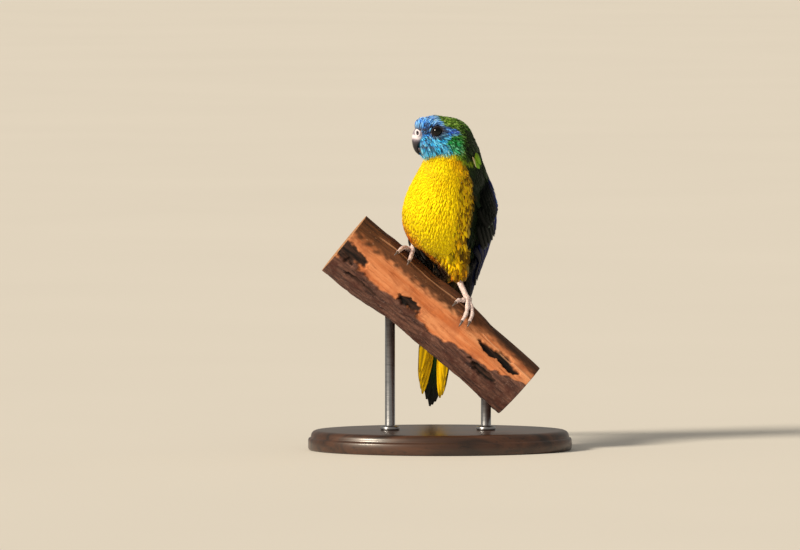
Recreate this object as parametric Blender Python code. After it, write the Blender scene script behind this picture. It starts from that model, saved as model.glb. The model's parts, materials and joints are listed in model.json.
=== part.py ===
"""A turquoise parrot at life size, perched on a short cut length of branch over a plain display stand.

Sizes are in millimetres, and each mesh is scaled to metres as it is made. X runs to the viewer's right,
Y away from the viewer and Z up. The origin is the middle of the base's underside.
"""
import math

import bmesh
import bpy
import numpy as np

MM = 0.001
GAP = 0.3
UP = np.array([0.0, 0.0, 1.0])

# Stand and perch
BASE_LENGTH, BASE_DEPTH, BASE_THICK, BASE_BEVEL = 132.0, 92.0, 10.0, 2.0
BASE_SIDES = 48
ROD_RADIUS = 2.5
ROD_SIDES = 16
ROD_PLACES = {"stand_rod_left": -25.0, "stand_rod_right": 23.0}
BRANCH_POINTS = [(-47.5, 104.0), (-28.0, 88.0), (-15.0, 78.0), (4.5, 61.5), (39.5, 29.5)]
BRANCH_RADII = [18.0, 17.0, 16.2, 15.8, 15.4]
BRANCH_RINGS, BRANCH_SIDES = 26, 24

# Trunk of the bird: how it faces and leans, then the ellipsoids that its outline is blended from
BODY_TURN, BODY_PITCH, BODY_LEAN = math.radians(16), math.radians(52), math.radians(10)
HEAD_TURN, HEAD_PITCH = math.radians(78), math.radians(0)
TORSO_CENTRE = np.array([3.8, -2.0, 123.0])
HEAD_CENTRE = np.array([2.5, -28.0, 159.2])
TAIL_ROOT, TAIL_SHIFT = 43.0, 2.6
TAIL_TIP = np.array([-4.5, 95.6, 16.5])

# Soft outline of the eye, bill and legs
EYE_RADIUS = 3.0
EYE_AHEAD, EYE_ABOVE, EYE_ASIDE = 5.7, 1.6, 6.9
LID_OUT, LID_RADIUS, LID_THICK = 1.75, 2.75, 0.55
NOSTRIL_RADIUS = 0.55
TOE_RADIUS, PAD_RADIUS, TARSUS_RADIUS = 1.05, 1.65, 1.2

PAINTS = {
    "feather_blue": ("#2E9BE0", 0.55, 0.0),
    "feather_yellow": ("#F5D400", 0.6, 0.0),
    "feather_green": ("#3F7A1E", 0.55, 0.0),
    "feather_navy": ("#16306E", 0.5, 0.0),
    "bill_grey": ("#6E6A70", 0.35, 0.0),
    "eye_brown": ("#120A08", 0.05, 0.0),
    "leg_skin": ("#C9A9A0", 0.6, 0.0),
    "claw_horn": ("#4A3E3C", 0.4, 0.0),
    "bark": ("#7A4A30", 0.85, 0.0),
    "base_wood": ("#3A2A20", 0.4, 0.0),
    "rod_steel": ("#8A8C90", 0.3, 1.0),
}


def unit(vector):
    vector = np.asarray(vector, float)
    return vector / np.linalg.norm(vector)


def facing(turn, pitch, lean=0.0):
    """Forward, left and back directions of a part that faces the viewer, turned to the viewer's left."""
    level = np.array([-math.sin(turn), -math.cos(turn), 0.0])
    forward = level * math.cos(pitch) + UP * math.sin(pitch)
    left = np.array([math.cos(turn), -math.sin(turn), 0.0])
    roll = np.array([[math.cos(lean), 0, math.sin(lean)], [0, 1, 0], [-math.sin(lean), 0, math.cos(lean)]])
    forward, left = roll @ forward, roll @ left
    return np.array([forward, left, np.cross(forward, left)])


BODY = facing(BODY_TURN, BODY_PITCH, BODY_LEAN)
HEAD = facing(HEAD_TURN, HEAD_PITCH)
TAIL_START = TORSO_CENTRE - BODY[0] * TAIL_ROOT - np.array([TAIL_SHIFT, 0, 0])
TAIL_AXIS = unit(TAIL_TIP - TAIL_START)
TAIL = np.array([-TAIL_AXIS, unit(BODY[1] - TAIL_AXIS * (BODY[1] @ TAIL_AXIS)), np.zeros(3)])
TAIL[2] = np.cross(TAIL[0], TAIL[1])


def on_body(ahead, left, back):
    return TORSO_CENTRE + BODY.T @ np.array([ahead, left, back], float)


def on_head(ahead, left, above):
    return HEAD_CENTRE + HEAD.T @ np.array([ahead, left, above], float)


# Each blob is a centre, the directions of its axes, its radii along them and how softly it joins the rest
TRUNK = [
    (on_body(0, 0.5, 0), BODY, (27.9, 18.9, 17.2), 0),
    (on_body(-14, 2.3, 1), BODY, (31, 15.0, 15), 12),
    (on_body(22.9, 3.3, 0.5), BODY, (23.5, 13.5, 17), 9),
    (np.array([8.4, -18.5, 136.7]), BODY, (16, 7.9, 13), 8),
    (np.array([5.4, -24.0, 151.5]), HEAD, (11.0, 11.6, 12.0), 6),
    (on_head(0.2, 0, -0.2), HEAD, (12.7, 10.4, 9.0), 4),
    (on_head(1.8, 0, -5.0), HEAD, (10.8, 9.6, 7.4), 4),
    (on_head(6.2, 0, 3.2), HEAD, (8.2, 7.4, 5.8), 3),
    (on_head(7.8, 0, -4.2), HEAD, (6.2, 6.0, 7.6), 3),
    (np.array([9.3, -1.0, 95.4]), np.eye(3), (6.2, 8.5, 11.6), 7),
    (np.array([-4.0, 4.5, 113.0]), np.eye(3), (8.5, 9.0, 9.8), 8),
    (on_body(-1.0, -1.3, -11.6), BODY, (17, 16.4, 13.2), 13),
    (TAIL_START + TAIL_AXIS * 12, TAIL, (25, 9.5, 6.5), 10),
]
SPINE = [
    TAIL_START + TAIL_AXIS * 66,
    TAIL_START + TAIL_AXIS * 40,
    TAIL_START + TAIL_AXIS * 14,
    on_body(-32, 1, 0.5),
    on_body(-16, 1.5, 0),
    on_body(2, 1.5, -2),
    on_body(17, 2.5, 0),
    np.array([6.4, -20.0, 145.0]),
    np.array([5.2, -24.5, 152.5]),
    np.array([3.6, -27.2, 160.0]),
    np.array([3.0, -28.0, 175.0]),
]


def blob_distance(points, centre, axes, radii):
    """About how far each point lies outside an ellipsoid."""
    local = (points - centre) @ axes.T
    near = np.linalg.norm(local / np.asarray(radii), axis=1)
    slope = np.linalg.norm(local / np.asarray(radii) ** 2, axis=1)
    return near * (near - 1.0) / np.maximum(slope, 1e-9)


def trunk_distance(points, blobs=None):
    """About how far each point lies outside the whole soft body, its blobs joined smoothly."""
    total = None
    for centre, axes, radii, soft in blobs or TRUNK:
        one = blob_distance(points, centre, axes, radii)
        if total is None:
            total = one
            continue
        blend = np.maximum(soft - np.abs(total - one), 0.0) / soft
        total = np.minimum(total, one) - blend * blend * soft * 0.25
    return total


def smooth_path(points, count):
    """Evenly spaced points along a Catmull-Rom curve through the given ones."""
    points = np.asarray(points, float)
    padded = np.vstack([2 * points[0] - points[1], points, 2 * points[-1] - points[-2]])
    fine = []
    for a, b, c, d in zip(padded, padded[1:], padded[2:], padded[3:]):
        for t in np.linspace(0, 1, 24, endpoint=False):
            fine.append(0.5 * (2 * b + (c - a) * t + (2 * a - 5 * b + 4 * c - d) * t**2
                               + (3 * b - a - 3 * c + d) * t**3))
    fine = np.array(fine + [points[-1]])
    length = np.concatenate([[0], np.cumsum(np.linalg.norm(np.diff(fine, axis=0), axis=1))])
    wanted = np.linspace(0, length[-1], count)
    return np.stack([np.interp(wanted, length, fine[:, k]) for k in range(3)], axis=1)


SPINE_STEPS = 400
SPINE_LINE = smooth_path(SPINE, SPINE_STEPS)
SPINE_LENGTH = float(np.linalg.norm(np.diff(SPINE_LINE, axis=0), axis=1).sum())
SPINE_TANGENTS = np.gradient(SPINE_LINE, axis=0)
SPINE_TANGENTS /= np.linalg.norm(SPINE_TANGENTS, axis=1)[:, None]


def spine_at(along):
    """Point, forward, left and back directions of the spine, from 0 at the rear to 1 at the crown."""
    place = np.clip(along, 0, 1) * (SPINE_STEPS - 1)
    point = np.array([np.interp(place, range(SPINE_STEPS), SPINE_LINE[:, k]) for k in range(3)])
    forward = unit([np.interp(place, range(SPINE_STEPS), SPINE_TANGENTS[:, k]) for k in range(3)])
    left = unit(BODY[1] - forward * (BODY[1] @ forward))
    return point, forward, left, np.cross(forward, left)


def reach(starts, directions, distance_to, furthest=60.0):
    """How far along each direction the surface lies from a start inside it."""
    low, high = np.zeros(len(starts)), np.full(len(starts), furthest)
    for _ in range(24):
        middle = (low + high) / 2
        inside = distance_to(starts + directions * middle[:, None]) < 0
        low, high = np.where(inside, middle, low), np.where(inside, high, middle)
    return low


def ring(along, sides, distance_to=trunk_distance, lift=0.0):
    """Surface points round the spine, from the belly line through the left side and the back."""
    point, _, left, back = spine_at(along)
    turns = np.arange(sides) * 2 * math.pi / sides
    directions = -np.outer(np.cos(turns), back) + np.outer(np.sin(turns), left)
    starts = np.repeat(point[None], sides, axis=0)
    return starts + directions * (reach(starts, directions, distance_to) + lift)[:, None]


def rear_and_crown():
    """Where the spine enters the body at the rear and leaves it at the crown."""
    inside = np.flatnonzero(trunk_distance(SPINE_LINE) < 0)
    return inside[0] / (SPINE_STEPS - 1), inside[-1] / (SPINE_STEPS - 1)


def along_of(point):
    """The place along the spine that is nearest to a point."""
    return int(np.argmin(np.linalg.norm(SPINE_LINE - point, axis=1))) / (SPINE_STEPS - 1)


REAR, CROWN = rear_and_crown()
TAIL_CUT = along_of(TAIL_START + TAIL_AXIS * 6)
NECK_CUT = along_of(on_body(24, 1.5, 0))
HEAD_CUT = along_of(np.array([5.6, -24.4, 152.6]))
HALF_GAP = GAP / 2 / SPINE_LENGTH
TRUNK_PARTS = [(REAR, TAIL_CUT - HALF_GAP, 8), (TAIL_CUT + HALF_GAP, NECK_CUT - HALF_GAP, 20),
               (NECK_CUT + HALF_GAP, HEAD_CUT - HALF_GAP, 6)]


def paint(name):
    material = bpy.data.materials.get(name)
    if material is None:
        colour, roughness, metallic = PAINTS[name]
        material = bpy.data.materials.new(name)
        material.use_nodes = True
        shader = material.node_tree.nodes["Principled BSDF"]
        channels = [int(colour[k:k + 2], 16) / 255 for k in (1, 3, 5)]
        linear = [c / 12.92 if c < 0.04045 else ((c + 0.055) / 1.055) ** 2.4 for c in channels]
        shader.inputs["Base Color"].default_value = (*linear, 1.0)
        shader.inputs["Roughness"].default_value = roughness
        shader.inputs["Metallic"].default_value = metallic
    return material


def solid(name, points, faces, paint_name):
    """A mesh object in metres from points in millimetres, all its faces triangles that point outwards."""
    mesh = bpy.data.meshes.new(name)
    mesh.from_pydata([tuple(p * MM) for p in np.asarray(points, float)], [], faces)
    shape = bmesh.new()
    shape.from_mesh(mesh)
    bmesh.ops.triangulate(shape, faces=shape.faces)
    bmesh.ops.recalc_face_normals(shape, faces=shape.faces)
    shape.to_mesh(mesh)
    shape.free()
    made = bpy.data.objects.new(name, mesh)
    made.data.materials.append(paint(paint_name))
    bpy.context.scene.collection.objects.link(made)
    return made


def loft(rings, start_point=None, end_point=None):
    """Points and faces of a closed skin over rings of equal count, each end a pole or a flat fan."""
    rings = [np.asarray(r, float) for r in rings]
    sides = len(rings[0])
    points = np.vstack(rings)
    faces = []
    for row in range(len(rings) - 1):
        for k in range(sides):
            a, b = row * sides + k, row * sides + (k + 1) % sides
            faces += [(a, b, b + sides), (a, b + sides, a + sides)]
    for end, first in ((start_point, 0), (end_point, (len(rings) - 1) * sides)):
        middle = rings[0 if first == 0 else -1].mean(0) if end is None else end
        points = np.vstack([points, middle])
        faces += [(len(points) - 1, first + k, first + (k + 1) % sides) for k in range(sides)]
    return points, faces


def tube(line, radii, sides, flat=1.0, side=None):
    """Points and faces of a tube along a line. flat is its height as a share of its width."""
    line = np.asarray(line, float)
    flat = np.broadcast_to(flat, len(line))
    tangents = np.gradient(line, axis=0)
    rings = []
    across = unit(side if side is not None else np.cross(tangents[0], UP))
    for point, tangent, radius, share in zip(line, tangents, radii, flat):
        tangent = unit(tangent)
        across = unit(across - tangent * (across @ tangent))
        up = np.cross(across, tangent)
        turns = [2 * math.pi * k / sides for k in range(sides)]
        rings.append([point + radius * (across * math.cos(t) + up * share * math.sin(t)) for t in turns])
    return loft(rings)


def ball(name, centre, radii, axes, paint_name, columns=16, rows=10):
    """An ellipsoid from rings between two poles."""
    rings = []
    for row in range(1, rows):
        polar = math.pi * row / rows
        rings.append([centre + axes.T @ (np.array(radii) * [
            math.cos(polar), math.sin(polar) * math.cos(turn), math.sin(polar) * math.sin(turn)])
            for turn in [2 * math.pi * k / columns for k in range(columns)]])
    first, last = centre + axes[0] * radii[0], centre - axes[0] * radii[0]
    return solid(name, *loft(rings, first, last), paint_name)


def remove(*objects):
    for one in objects:
        bpy.data.objects.remove(one)


def apply_boolean(target, operation, others, solver="EXACT"):
    """Cuts the others from the target, or joins them to it, and removes them."""
    group = bpy.data.collections.new("group")
    bpy.context.scene.collection.children.link(group)
    for other in others:
        group.objects.link(other)
    modifier = target.modifiers.new("Boolean", "BOOLEAN")
    modifier.operation = operation
    modifier.operand_type = "COLLECTION"
    modifier.collection = group
    modifier.solver = solver
    bpy.context.view_layer.update()
    graph = bpy.context.evaluated_depsgraph_get()
    made = bpy.data.meshes.new_from_object(target.evaluated_get(graph))
    target.modifiers.clear()
    target.data = made
    remove(*others)
    bpy.data.collections.remove(group)
    keep_largest(target)
    return target


def keep_largest(target):
    """Leaves the largest closed surface of a mesh, so that a node is one body."""
    shape = bmesh.new()
    shape.from_mesh(target.data)
    bmesh.ops.triangulate(shape, faces=shape.faces)
    shape.faces.ensure_lookup_table()
    unseen = set(shape.faces)
    groups = []
    while unseen:
        todo = [unseen.pop()]
        group = []
        while todo:
            face = todo.pop()
            group.append(face)
            for edge in face.edges:
                for other in edge.link_faces:
                    if other in unseen:
                        unseen.discard(other)
                        todo.append(other)
        groups.append(group)
    volumes = [sum(f.calc_center_median().dot(f.normal) * f.calc_area() for f in g) for g in groups]
    best = int(np.argmax(volumes))
    spare = [face for k, group in enumerate(groups) if k != best for face in group]
    bmesh.ops.delete(shape, geom=spare, context="FACES")
    shape.to_mesh(target.data)
    shape.free()


def trunk_part(name, start, end, rings, sides, paint_name, lift=0.0):
    """A length of the body between two places along the spine, cut square or closed at a pole."""
    eased = [(1 - math.cos(math.pi * k / (rings - 1))) / 2 for k in range(rings)]
    even = [k / (rings - 1) for k in range(rings)]
    rear_pole, crown_pole = start <= REAR, end >= CROWN
    steps = []
    for soft, plain in zip(eased, even):
        share = plain
        if rear_pole and plain < 0.5 or crown_pole and plain >= 0.5:
            share = soft
        steps.append(start + (end - start) * share)
    if rear_pole:
        steps = steps[1:]
    if crown_pole:
        steps = steps[:-1]
    made = [ring(along, sides, lift=lift) for along in steps]
    first = spine_at(REAR)[0] - spine_at(REAR)[1] * lift if rear_pole else None
    last = spine_at(CROWN)[0] + spine_at(CROWN)[1] * lift if crown_pole else None
    return solid(name, *loft(made, first, last), paint_name)


def make_head():
    """The head with a socket and a rim of lids for each eye."""
    head = trunk_part("head", HEAD_CUT + HALF_GAP, CROWN, 14, 28, "feather_blue")
    for side in (1, -1):
        eye = on_head(EYE_AHEAD, side * EYE_ASIDE, EYE_ABOVE)
        outward = unit(HEAD[1] * side + HEAD[0] * 0.12)
        across = unit(np.cross(outward, UP))
        up = np.cross(across, outward)
        rim = eye + outward * LID_OUT
        lids = ring_solid("lids", rim, across, up, LID_RADIUS, LID_THICK)
        head = apply_boolean(head, "UNION", [lids])
        socket = ball("socket", eye, [EYE_RADIUS + GAP] * 3, np.eye(3), "feather_blue", 16, 10)
        head = apply_boolean(head, "DIFFERENCE", [socket])
        ball("eye_left" if side > 0 else "eye_right", eye, [EYE_RADIUS] * 3, np.eye(3), "eye_brown", 16, 10)
    return head


def ring_solid(name, centre, across, up, radius, thick, sides=16, around=6):
    """A round ring, such as the lids of an eye."""
    outward = np.cross(across, up)
    points, faces = [], []
    for k in range(sides):
        turn = 2 * math.pi * k / sides
        spoke = across * math.cos(turn) + up * math.sin(turn)
        for j in range(around):
            roll = 2 * math.pi * j / around
            reach_out = radius + thick * math.cos(roll)
            points.append(centre + spoke * reach_out + outward * thick * math.sin(roll))
    for k in range(sides):
        for j in range(around):
            a, b = k * around + j, k * around + (j + 1) % around
            c, d = (a + around) % len(points), (b + around) % len(points)
            faces += [(a, b, d), (a, d, c)]
    return solid(name, points, faces, "feather_blue")


def make_bill():
    """Upper and lower mandibles, both fitted to the front of the head, and the nostrils in the cere."""
    upper_line = [(8, 0.9), (11, 0.9), (13.2, -0.4), (14.4, -2.8), (14.9, -5.6), (14.5, -8), (13.2, -10.2)]
    upper_wide, upper_deep = [3.9, 4.1, 3.7, 3.1, 2.3, 1.4, 0.4], [3.4, 3.8, 3.5, 2.7, 1.8, 1.0, 0.3]
    lower_line = [(8.0, -6.2), (11.3, -7.2), (13.0, -7.6), (13.9, -6.6)]
    lower_wide, lower_deep = [3.2, 2.9, 2.3, 1.4], [2.6, 2.3, 1.5, 0.7]

    def mandible(name, line, wide, deep, more=0.0):
        points = smooth_path([on_head(a, 0, w) for a, w in line], 10)
        share = np.linspace(0, 1, 10)
        spread = np.interp(share, np.linspace(0, 1, len(wide)), wide) + more
        depth = np.interp(share, np.linspace(0, 1, len(deep)), deep) + more
        return solid(name, *tube(points, spread, 14, depth / spread, HEAD[1]), "bill_grey")

    def front_of_head():
        return trunk_part("front", HEAD_CUT + HALF_GAP, CROWN, 14, 28, "bill_grey", lift=GAP)

    upper = mandible("bill_upper", upper_line, upper_wide, upper_deep)
    upper = apply_boolean(upper, "DIFFERENCE", [front_of_head()])
    for side in (1, -1):
        nostril = on_head(15.2, side * 2.7, 0.8)
        upper = apply_boolean(upper, "DIFFERENCE", [
            ball("nostril", nostril, [NOSTRIL_RADIUS * 1.2] * 3, np.eye(3), "bill_grey", 8, 6)])
    lower = mandible("bill_lower", lower_line, lower_wide, lower_deep)
    above = mandible("above", upper_line, upper_wide, upper_deep, more=GAP)
    lower = apply_boolean(lower, "DIFFERENCE", [above])
    return upper, apply_boolean(lower, "DIFFERENCE", [front_of_head()])


BRANCH_LINE = smooth_path([np.array([x, 0.0, z]) for x, z in BRANCH_POINTS], 120)


def branch_at(x):
    """Point, up normal and radius of the branch where its axis has a given x."""
    place = np.interp(x, BRANCH_LINE[:, 0], range(len(BRANCH_LINE)))
    k = int(np.clip(round(place), 1, len(BRANCH_LINE) - 2))
    direction = unit(BRANCH_LINE[k + 1] - BRANCH_LINE[k - 1])
    point = np.array([x, 0.0, np.interp(x, BRANCH_LINE[:, 0], BRANCH_LINE[:, 2])])
    radius = np.interp(x, [p[0] for p in BRANCH_POINTS], BRANCH_RADII)
    return point, np.array([-direction[2], 0.0, direction[0]]), radius


def bark_height(along, turn):
    """How far the bark stands out of the branch's round form in long, low ridges and knots."""
    ridges = 0.35 * math.sin(3 * turn + 0.06 * along) + 0.25 * math.sin(7 * turn - 0.11 * along)
    knots = 0.4 * math.sin(0.19 * along + 1.3) * math.sin(2 * turn + 0.7)
    return ridges + knots


def on_branch(x, turn, height):
    """A place at a height over the bark. Turn 0 is the branch's top, and a quarter turn faces the viewer."""
    point, up, radius = branch_at(x)
    outward = up * math.cos(turn) + np.array([0, -1.0, 0]) * math.sin(turn)
    return point + outward * (radius + bark_height(x, turn) + height)


def make_branch(name, lift=0.0):
    """The cut length of branch, its ends sawn square, or the same grown by a lift."""
    rings = []
    for x in np.linspace(BRANCH_POINTS[0][0], BRANCH_POINTS[-1][0], BRANCH_RINGS):
        rings.append([on_branch(x, 2 * math.pi * k / BRANCH_SIDES, lift) for k in range(BRANCH_SIDES)])
    return solid(name, *loft(rings), "bark")


# Each toe is a list of places on the branch: the x of its axis there and the turn round it in degrees
FEET = {
    "left": {"pad": 2.8, "turn": 24, "ankle": (7.6, 0.5, 90.0), "toes": {
        "1": [(1.4, 32), (0.2, 39), (0.0, 47)],
        "2": [(4.4, 37), (5.6, 51), (6.2, 66)],
        "3": [(5.2, 29), (7.3, 41), (8.4, 57)],
        "4": [(3.4, 2), (4.2, -20), (5.0, -40)]}},
    "right": {"pad": -25.0, "turn": 10, "ankle": (-10.0, 4.0, 113.0), "toes": {
        "1": [(-24.0, -18), (-23.6, -36), (-23.4, -54)],
        "2": [(-24.2, 22), (-23.8, 34), (-23.5, 44)],
        "3": [(-26.6, 10), (-28.8, 24), (-29.6, 46)],
        "4": [(-26.8, -14), (-28.6, -28), (-29.8, -44)]}},
}
TOE_HEIGHT = TOE_RADIUS + 0.3


def pad_centre(side):
    return on_branch(FEET[side]["pad"], math.radians(FEET[side]["turn"]), PAD_RADIUS + 0.3)


def make_foot(side):
    """Four toes and a pad that grip the branch, and a claw in front of each toe."""
    foot = FEET[side]
    pad = pad_centre(side)
    radii = [PAD_RADIUS * 1.15, PAD_RADIUS, PAD_RADIUS * 0.95]
    made = ball("foot_" + side, pad, radii, np.eye(3), "leg_skin", 10, 7)
    toes = []
    for number, places in foot["toes"].items():
        line = smooth_path([pad] + [on_branch(x, math.radians(t), TOE_HEIGHT) for x, t in places], 7)
        widths = np.linspace(TOE_RADIUS * 1.1, TOE_RADIUS * 0.8, 7)
        toes.append(solid("toe", *tube(line, widths, 8), "leg_skin"))
        make_claw("claw_" + side + "_" + number, line, places[-1])
    return apply_boolean(made, "UNION", toes)


def make_claw(name, toe_line, last_place):
    """A curved, tapered claw that starts just past the end of its toe and comes down to the bark."""
    along = unit(toe_line[-1] - toe_line[-2])
    x, turn = last_place
    up = branch_at(x)[1]
    turn = math.radians(turn)
    outward = up * math.cos(turn) + np.array([0, -1.0, 0]) * math.sin(turn)
    start = toe_line[-1] + along * GAP
    line = [start, start + along * 1.6 + outward * 0.25, start + along * 3.1 - outward * 0.35]
    points = smooth_path(line, 6)
    return solid(name, *tube(points, np.linspace(0.75, 0.2, 6), 6), "claw_horn")


def trunk_cutters():
    """The neck, torso and root of the tail, each grown by the gap that touching pieces keep."""
    return [trunk_part("cutter", start, end, rings, 28, "feather_yellow", lift=GAP)
            for start, end, rings in TRUNK_PARTS]


def make_leg(side):
    """The bare shank from the foot's pad up into the thigh's feathers."""
    pad = pad_centre(side)
    ankle = np.array(FEET[side]["ankle"])
    way = unit(ankle - pad)
    start = pad + way * (PAD_RADIUS + GAP)
    line = [start, start + way * 4, (start + ankle) / 2 + way, ankle]
    radii = [TARSUS_RADIUS * 1.1, TARSUS_RADIUS, TARSUS_RADIUS, TARSUS_RADIUS * 1.2]
    shank = solid("leg_" + side, *tube(line, radii, 12), "leg_skin")
    return apply_boolean(shank, "DIFFERENCE", trunk_cutters())


# The folded wings and the tail lie on this form: the trunk, drawn out over the root of the tail
FORM = TRUNK + [(TAIL_START + TAIL_AXIS * 30 + [1.8, 0, 0], TAIL, (62, 10.0, 5.2), 9)]


def form_distance(points):
    return trunk_distance(points, FORM)


def form_normals(points):
    step = 0.05
    slopes = [form_distance(points + np.eye(3)[k] * step) - form_distance(points - np.eye(3)[k] * step)
              for k in range(3)]
    slopes = np.stack(slopes, axis=1)
    return slopes / np.linalg.norm(slopes, axis=1)[:, None]


def settle(points, lifts):
    """Moves points along the form's normals to the given heights over it."""
    points = np.array(points, float)
    for _ in range(6):
        points += form_normals(points) * (lifts - form_distance(points))[:, None]
    return points


def form_line(places, count, lifts, side):
    """A line over the form through places: mm back from the wing's bend and degrees up from the belly."""
    places = np.asarray(places, float)
    share = np.linspace(0, 1, count)
    backs, turns = [np.interp(share, np.linspace(0, 1, len(places)), places[:, k]) for k in (0, 1)]
    line = []
    for back, turn in zip(backs, turns):
        point, _, left, up = spine_at(WING_BEND - back / SPINE_LENGTH)
        way = -up * math.cos(math.radians(turn)) + left * side * math.sin(math.radians(turn))
        starts = point[None]
        line.append(point + way * reach(starts, way[None], form_distance)[0])
    return settle(line, np.broadcast_to(lifts, count))


def form_vane(places, half_width, lifts, tilt, side, stations, thick=0.5):
    """Points and faces of one vane that lies on the form, its outer edge raised by the tilt."""
    line = form_line(places, stations, np.linspace(lifts[0], lifts[1], stations), side)
    return vane(line, form_normals(line), half_width, thick, tilt, settle,
                np.linspace(lifts[0], lifts[1], stations))


VANE_TAPER = [0.55, 0.9, 1.0, 0.88, 0.34]


def vane(line, normals, half_width, thick, tilt, place=None, lifts=None):
    """A closed, thin vane with a shaft ridge on top. tilt is how far one edge rises and the other sinks."""
    count = len(line)
    share = np.linspace(0, 1, count)
    widths = half_width * np.interp(share, np.linspace(0, 1, len(VANE_TAPER)), VANE_TAPER)
    tangents = np.gradient(line, axis=0)
    rings = []
    sides = []
    for sign in (-1, 1):
        across = np.array([unit(np.cross(t, n)) for t, n in zip(tangents, normals)])
        edge = line + sign * widths[:, None] * across
        rise = sign * tilt * widths / half_width
        sides.append(place(edge, lifts + rise) if place else edge + normals * rise[:, None])
    deep = thick / 2 * np.interp(share, [0, 0.75, 1], [1, 1, 0.7])[:, None]
    for k in range(count):
        up = normals[k] * deep[k]
        rings.append([sides[0][k] + up, line[k] + up * 1.4, sides[1][k] + up,
                      sides[1][k] - up, line[k] - up, sides[0][k] - up])
    return loft_ends(rings)


def loft_ends(rings):
    """Points and faces of a vane's rings, its two ends closed without a middle point."""
    points = np.vstack(rings)
    faces = []
    for row in range(len(rings) - 1):
        for k in range(6):
            a, b = row * 6 + k, row * 6 + (k + 1) % 6
            faces += [(a, b, b + 6), (a, b + 6, a + 6)] if k < 3 else [(a, b, a + 6), (b, b + 6, a + 6)]
    for first in (0, (len(rings) - 1) * 6):
        faces += [(first, first + 1, first + 4), (first, first + 4, first + 5),
                  (first + 1, first + 2, first + 3), (first + 1, first + 3, first + 4)]
    return points, faces


WING_BEND = along_of(on_body(21, 0, 0))
# How far each wing's lower edge is turned back at the roots and tips of its feathers
WING_TURN = {"left": (-10.0, 0.0), "right": (34.0, 30.0)}
# How far back along the body each wing starts
WING_BACK = {"left": 0.0, "right": 11.0}
RANDOM = np.random.default_rng(7)

# Each row of a wing, from its lower edge to the back: how many vanes, the roots and the tips of the first and
# last (mm back from the bend, degrees up from the belly), half width, the first one's heights at root and
# tip, how far its outer edge rises, and how much higher the last one lies
WING_ROWS = {
    "primary": (4, ((40, 76), (42, 84)), ((109, 152), (88, 132)), 3.2, (1.15, 1.1), 0.1, 2.2),
    "secondary": (5, ((26, 80), (26, 128)), ((67, 110), (61, 160)), 3.5, (1.7, 3.7), 0.3, 1.3),
    "greater_covert": (6, ((14, 74), (15, 134)), ((37, 80), (39, 150)), 3.1, (1.8, 3.6), 0.35, 1.3),
    "median_covert": (5, ((6, 75), (7, 130)), ((22, 77), (23, 144)), 3.3, (2.0, 4.0), 0.35, 1.0),
}
WING_CORE = [(-1.0, 84, 116, 0.8), (5.0, 70, 138, 2.2), (13.0, 68, 144, 3.2), (22.0, 70, 142, 2.9),
             (32.0, 72, 136, 2.2), (42.0, 76, 120, 1.4)]
CORE_ACROSS, WING_OFF = 7, 0.8


def make_wing(side_name):
    side = 1 if side_name == "left" else -1
    turned, shift = WING_TURN[side_name], WING_BACK[side_name]
    rings = []
    for back, low, high, thick in WING_CORE:
        turns = np.linspace(min(low + turned[0], high - 12), high, CORE_ACROSS)
        top = thick * (1 - 0.65 * np.abs(np.linspace(-1, 1, CORE_ACROSS)) ** 3)
        back += shift
        outer = [form_line([(back, t), (back, t)], 2, WING_OFF + h, side)[0] for t, h in zip(turns, top)]
        inner = [form_line([(back, t), (back, t)], 2, WING_OFF, side)[0] for t in turns[::-1]]
        rings.append(outer + inner)
    wing = solid("wing_" + side_name, *loft(rings), "feather_green")
    vanes = []
    for count, roots, tips, half_width, lifts, tilt, rise in WING_ROWS.values():
        for share in np.linspace(0, 1, count):
            root = np.array(roots[0]) * (1 - share) + np.array(roots[1]) * share
            tip = np.array(tips[0]) * (1 - share) + np.array(tips[1]) * share
            root += np.array([shift, turned[0] * (1 - share)])
            tip += np.array([shift * 0.3, turned[1] * (1 - share)])
            tip += RANDOM.uniform(-1, 1, 2) * [0.8, 0.5]
            way = [root, (root + tip) / 2, tip]
            stations = 6 if tip[0] - root[0] > 50 else 5
            high = (lifts[0] + 0.3 * rise * share, lifts[1] + rise * share)
            vanes.append(solid("vane", *form_vane(way, half_width, high, tilt * side, side, stations),
                               "feather_green"))
    return apply_boolean(wing, "UNION", vanes)


# Tail vanes of one side from the middle pair outwards: offset at the tip, half width, height, share of length
TAIL_VANES = [(1.3, 3.7, 2.1, 1.0), (4.1, 3.6, 0.55, 0.975), (4.8, 3.5, -0.3, 0.93),
              (5.4, 3.4, -1.15, 0.87), (5.9, 3.3, -2.0, 0.8), (6.2, 3.1, -2.85, 0.71)]


def make_tail():
    """Twelve graduated tail feathers, the middle pair uppermost, held together at their root."""
    tail = trunk_part("tail", *TRUNK_PARTS[0], 28, "feather_green")
    start = TAIL_START + TAIL_AXIS * 16
    reach_back = np.linalg.norm(TAIL_TIP - start)
    vanes = []
    for number, (offset, half_width, height, share) in enumerate(TAIL_VANES):
        for side in (1, -1):
            high = height - 0.85 if number == 0 and side < 0 else height
            length = reach_back * share * (1 + RANDOM.uniform(-0.008, 0.008))
            line = []
            for t in np.linspace(0, 1, 6):
                wide = side * offset * (0.62 + 0.38 * t)
                line.append(start + TAIL_AXIS * length * t + TAIL[1] * wide + TAIL[2] * high)
            line = np.array(line)
            normals = np.repeat(TAIL[2][None], 6, axis=0)
            vanes.append(solid("vane", *vane(line, normals, half_width, 0.5, 0.0), "feather_green"))
    return apply_boolean(tail, "UNION", vanes)


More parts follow.
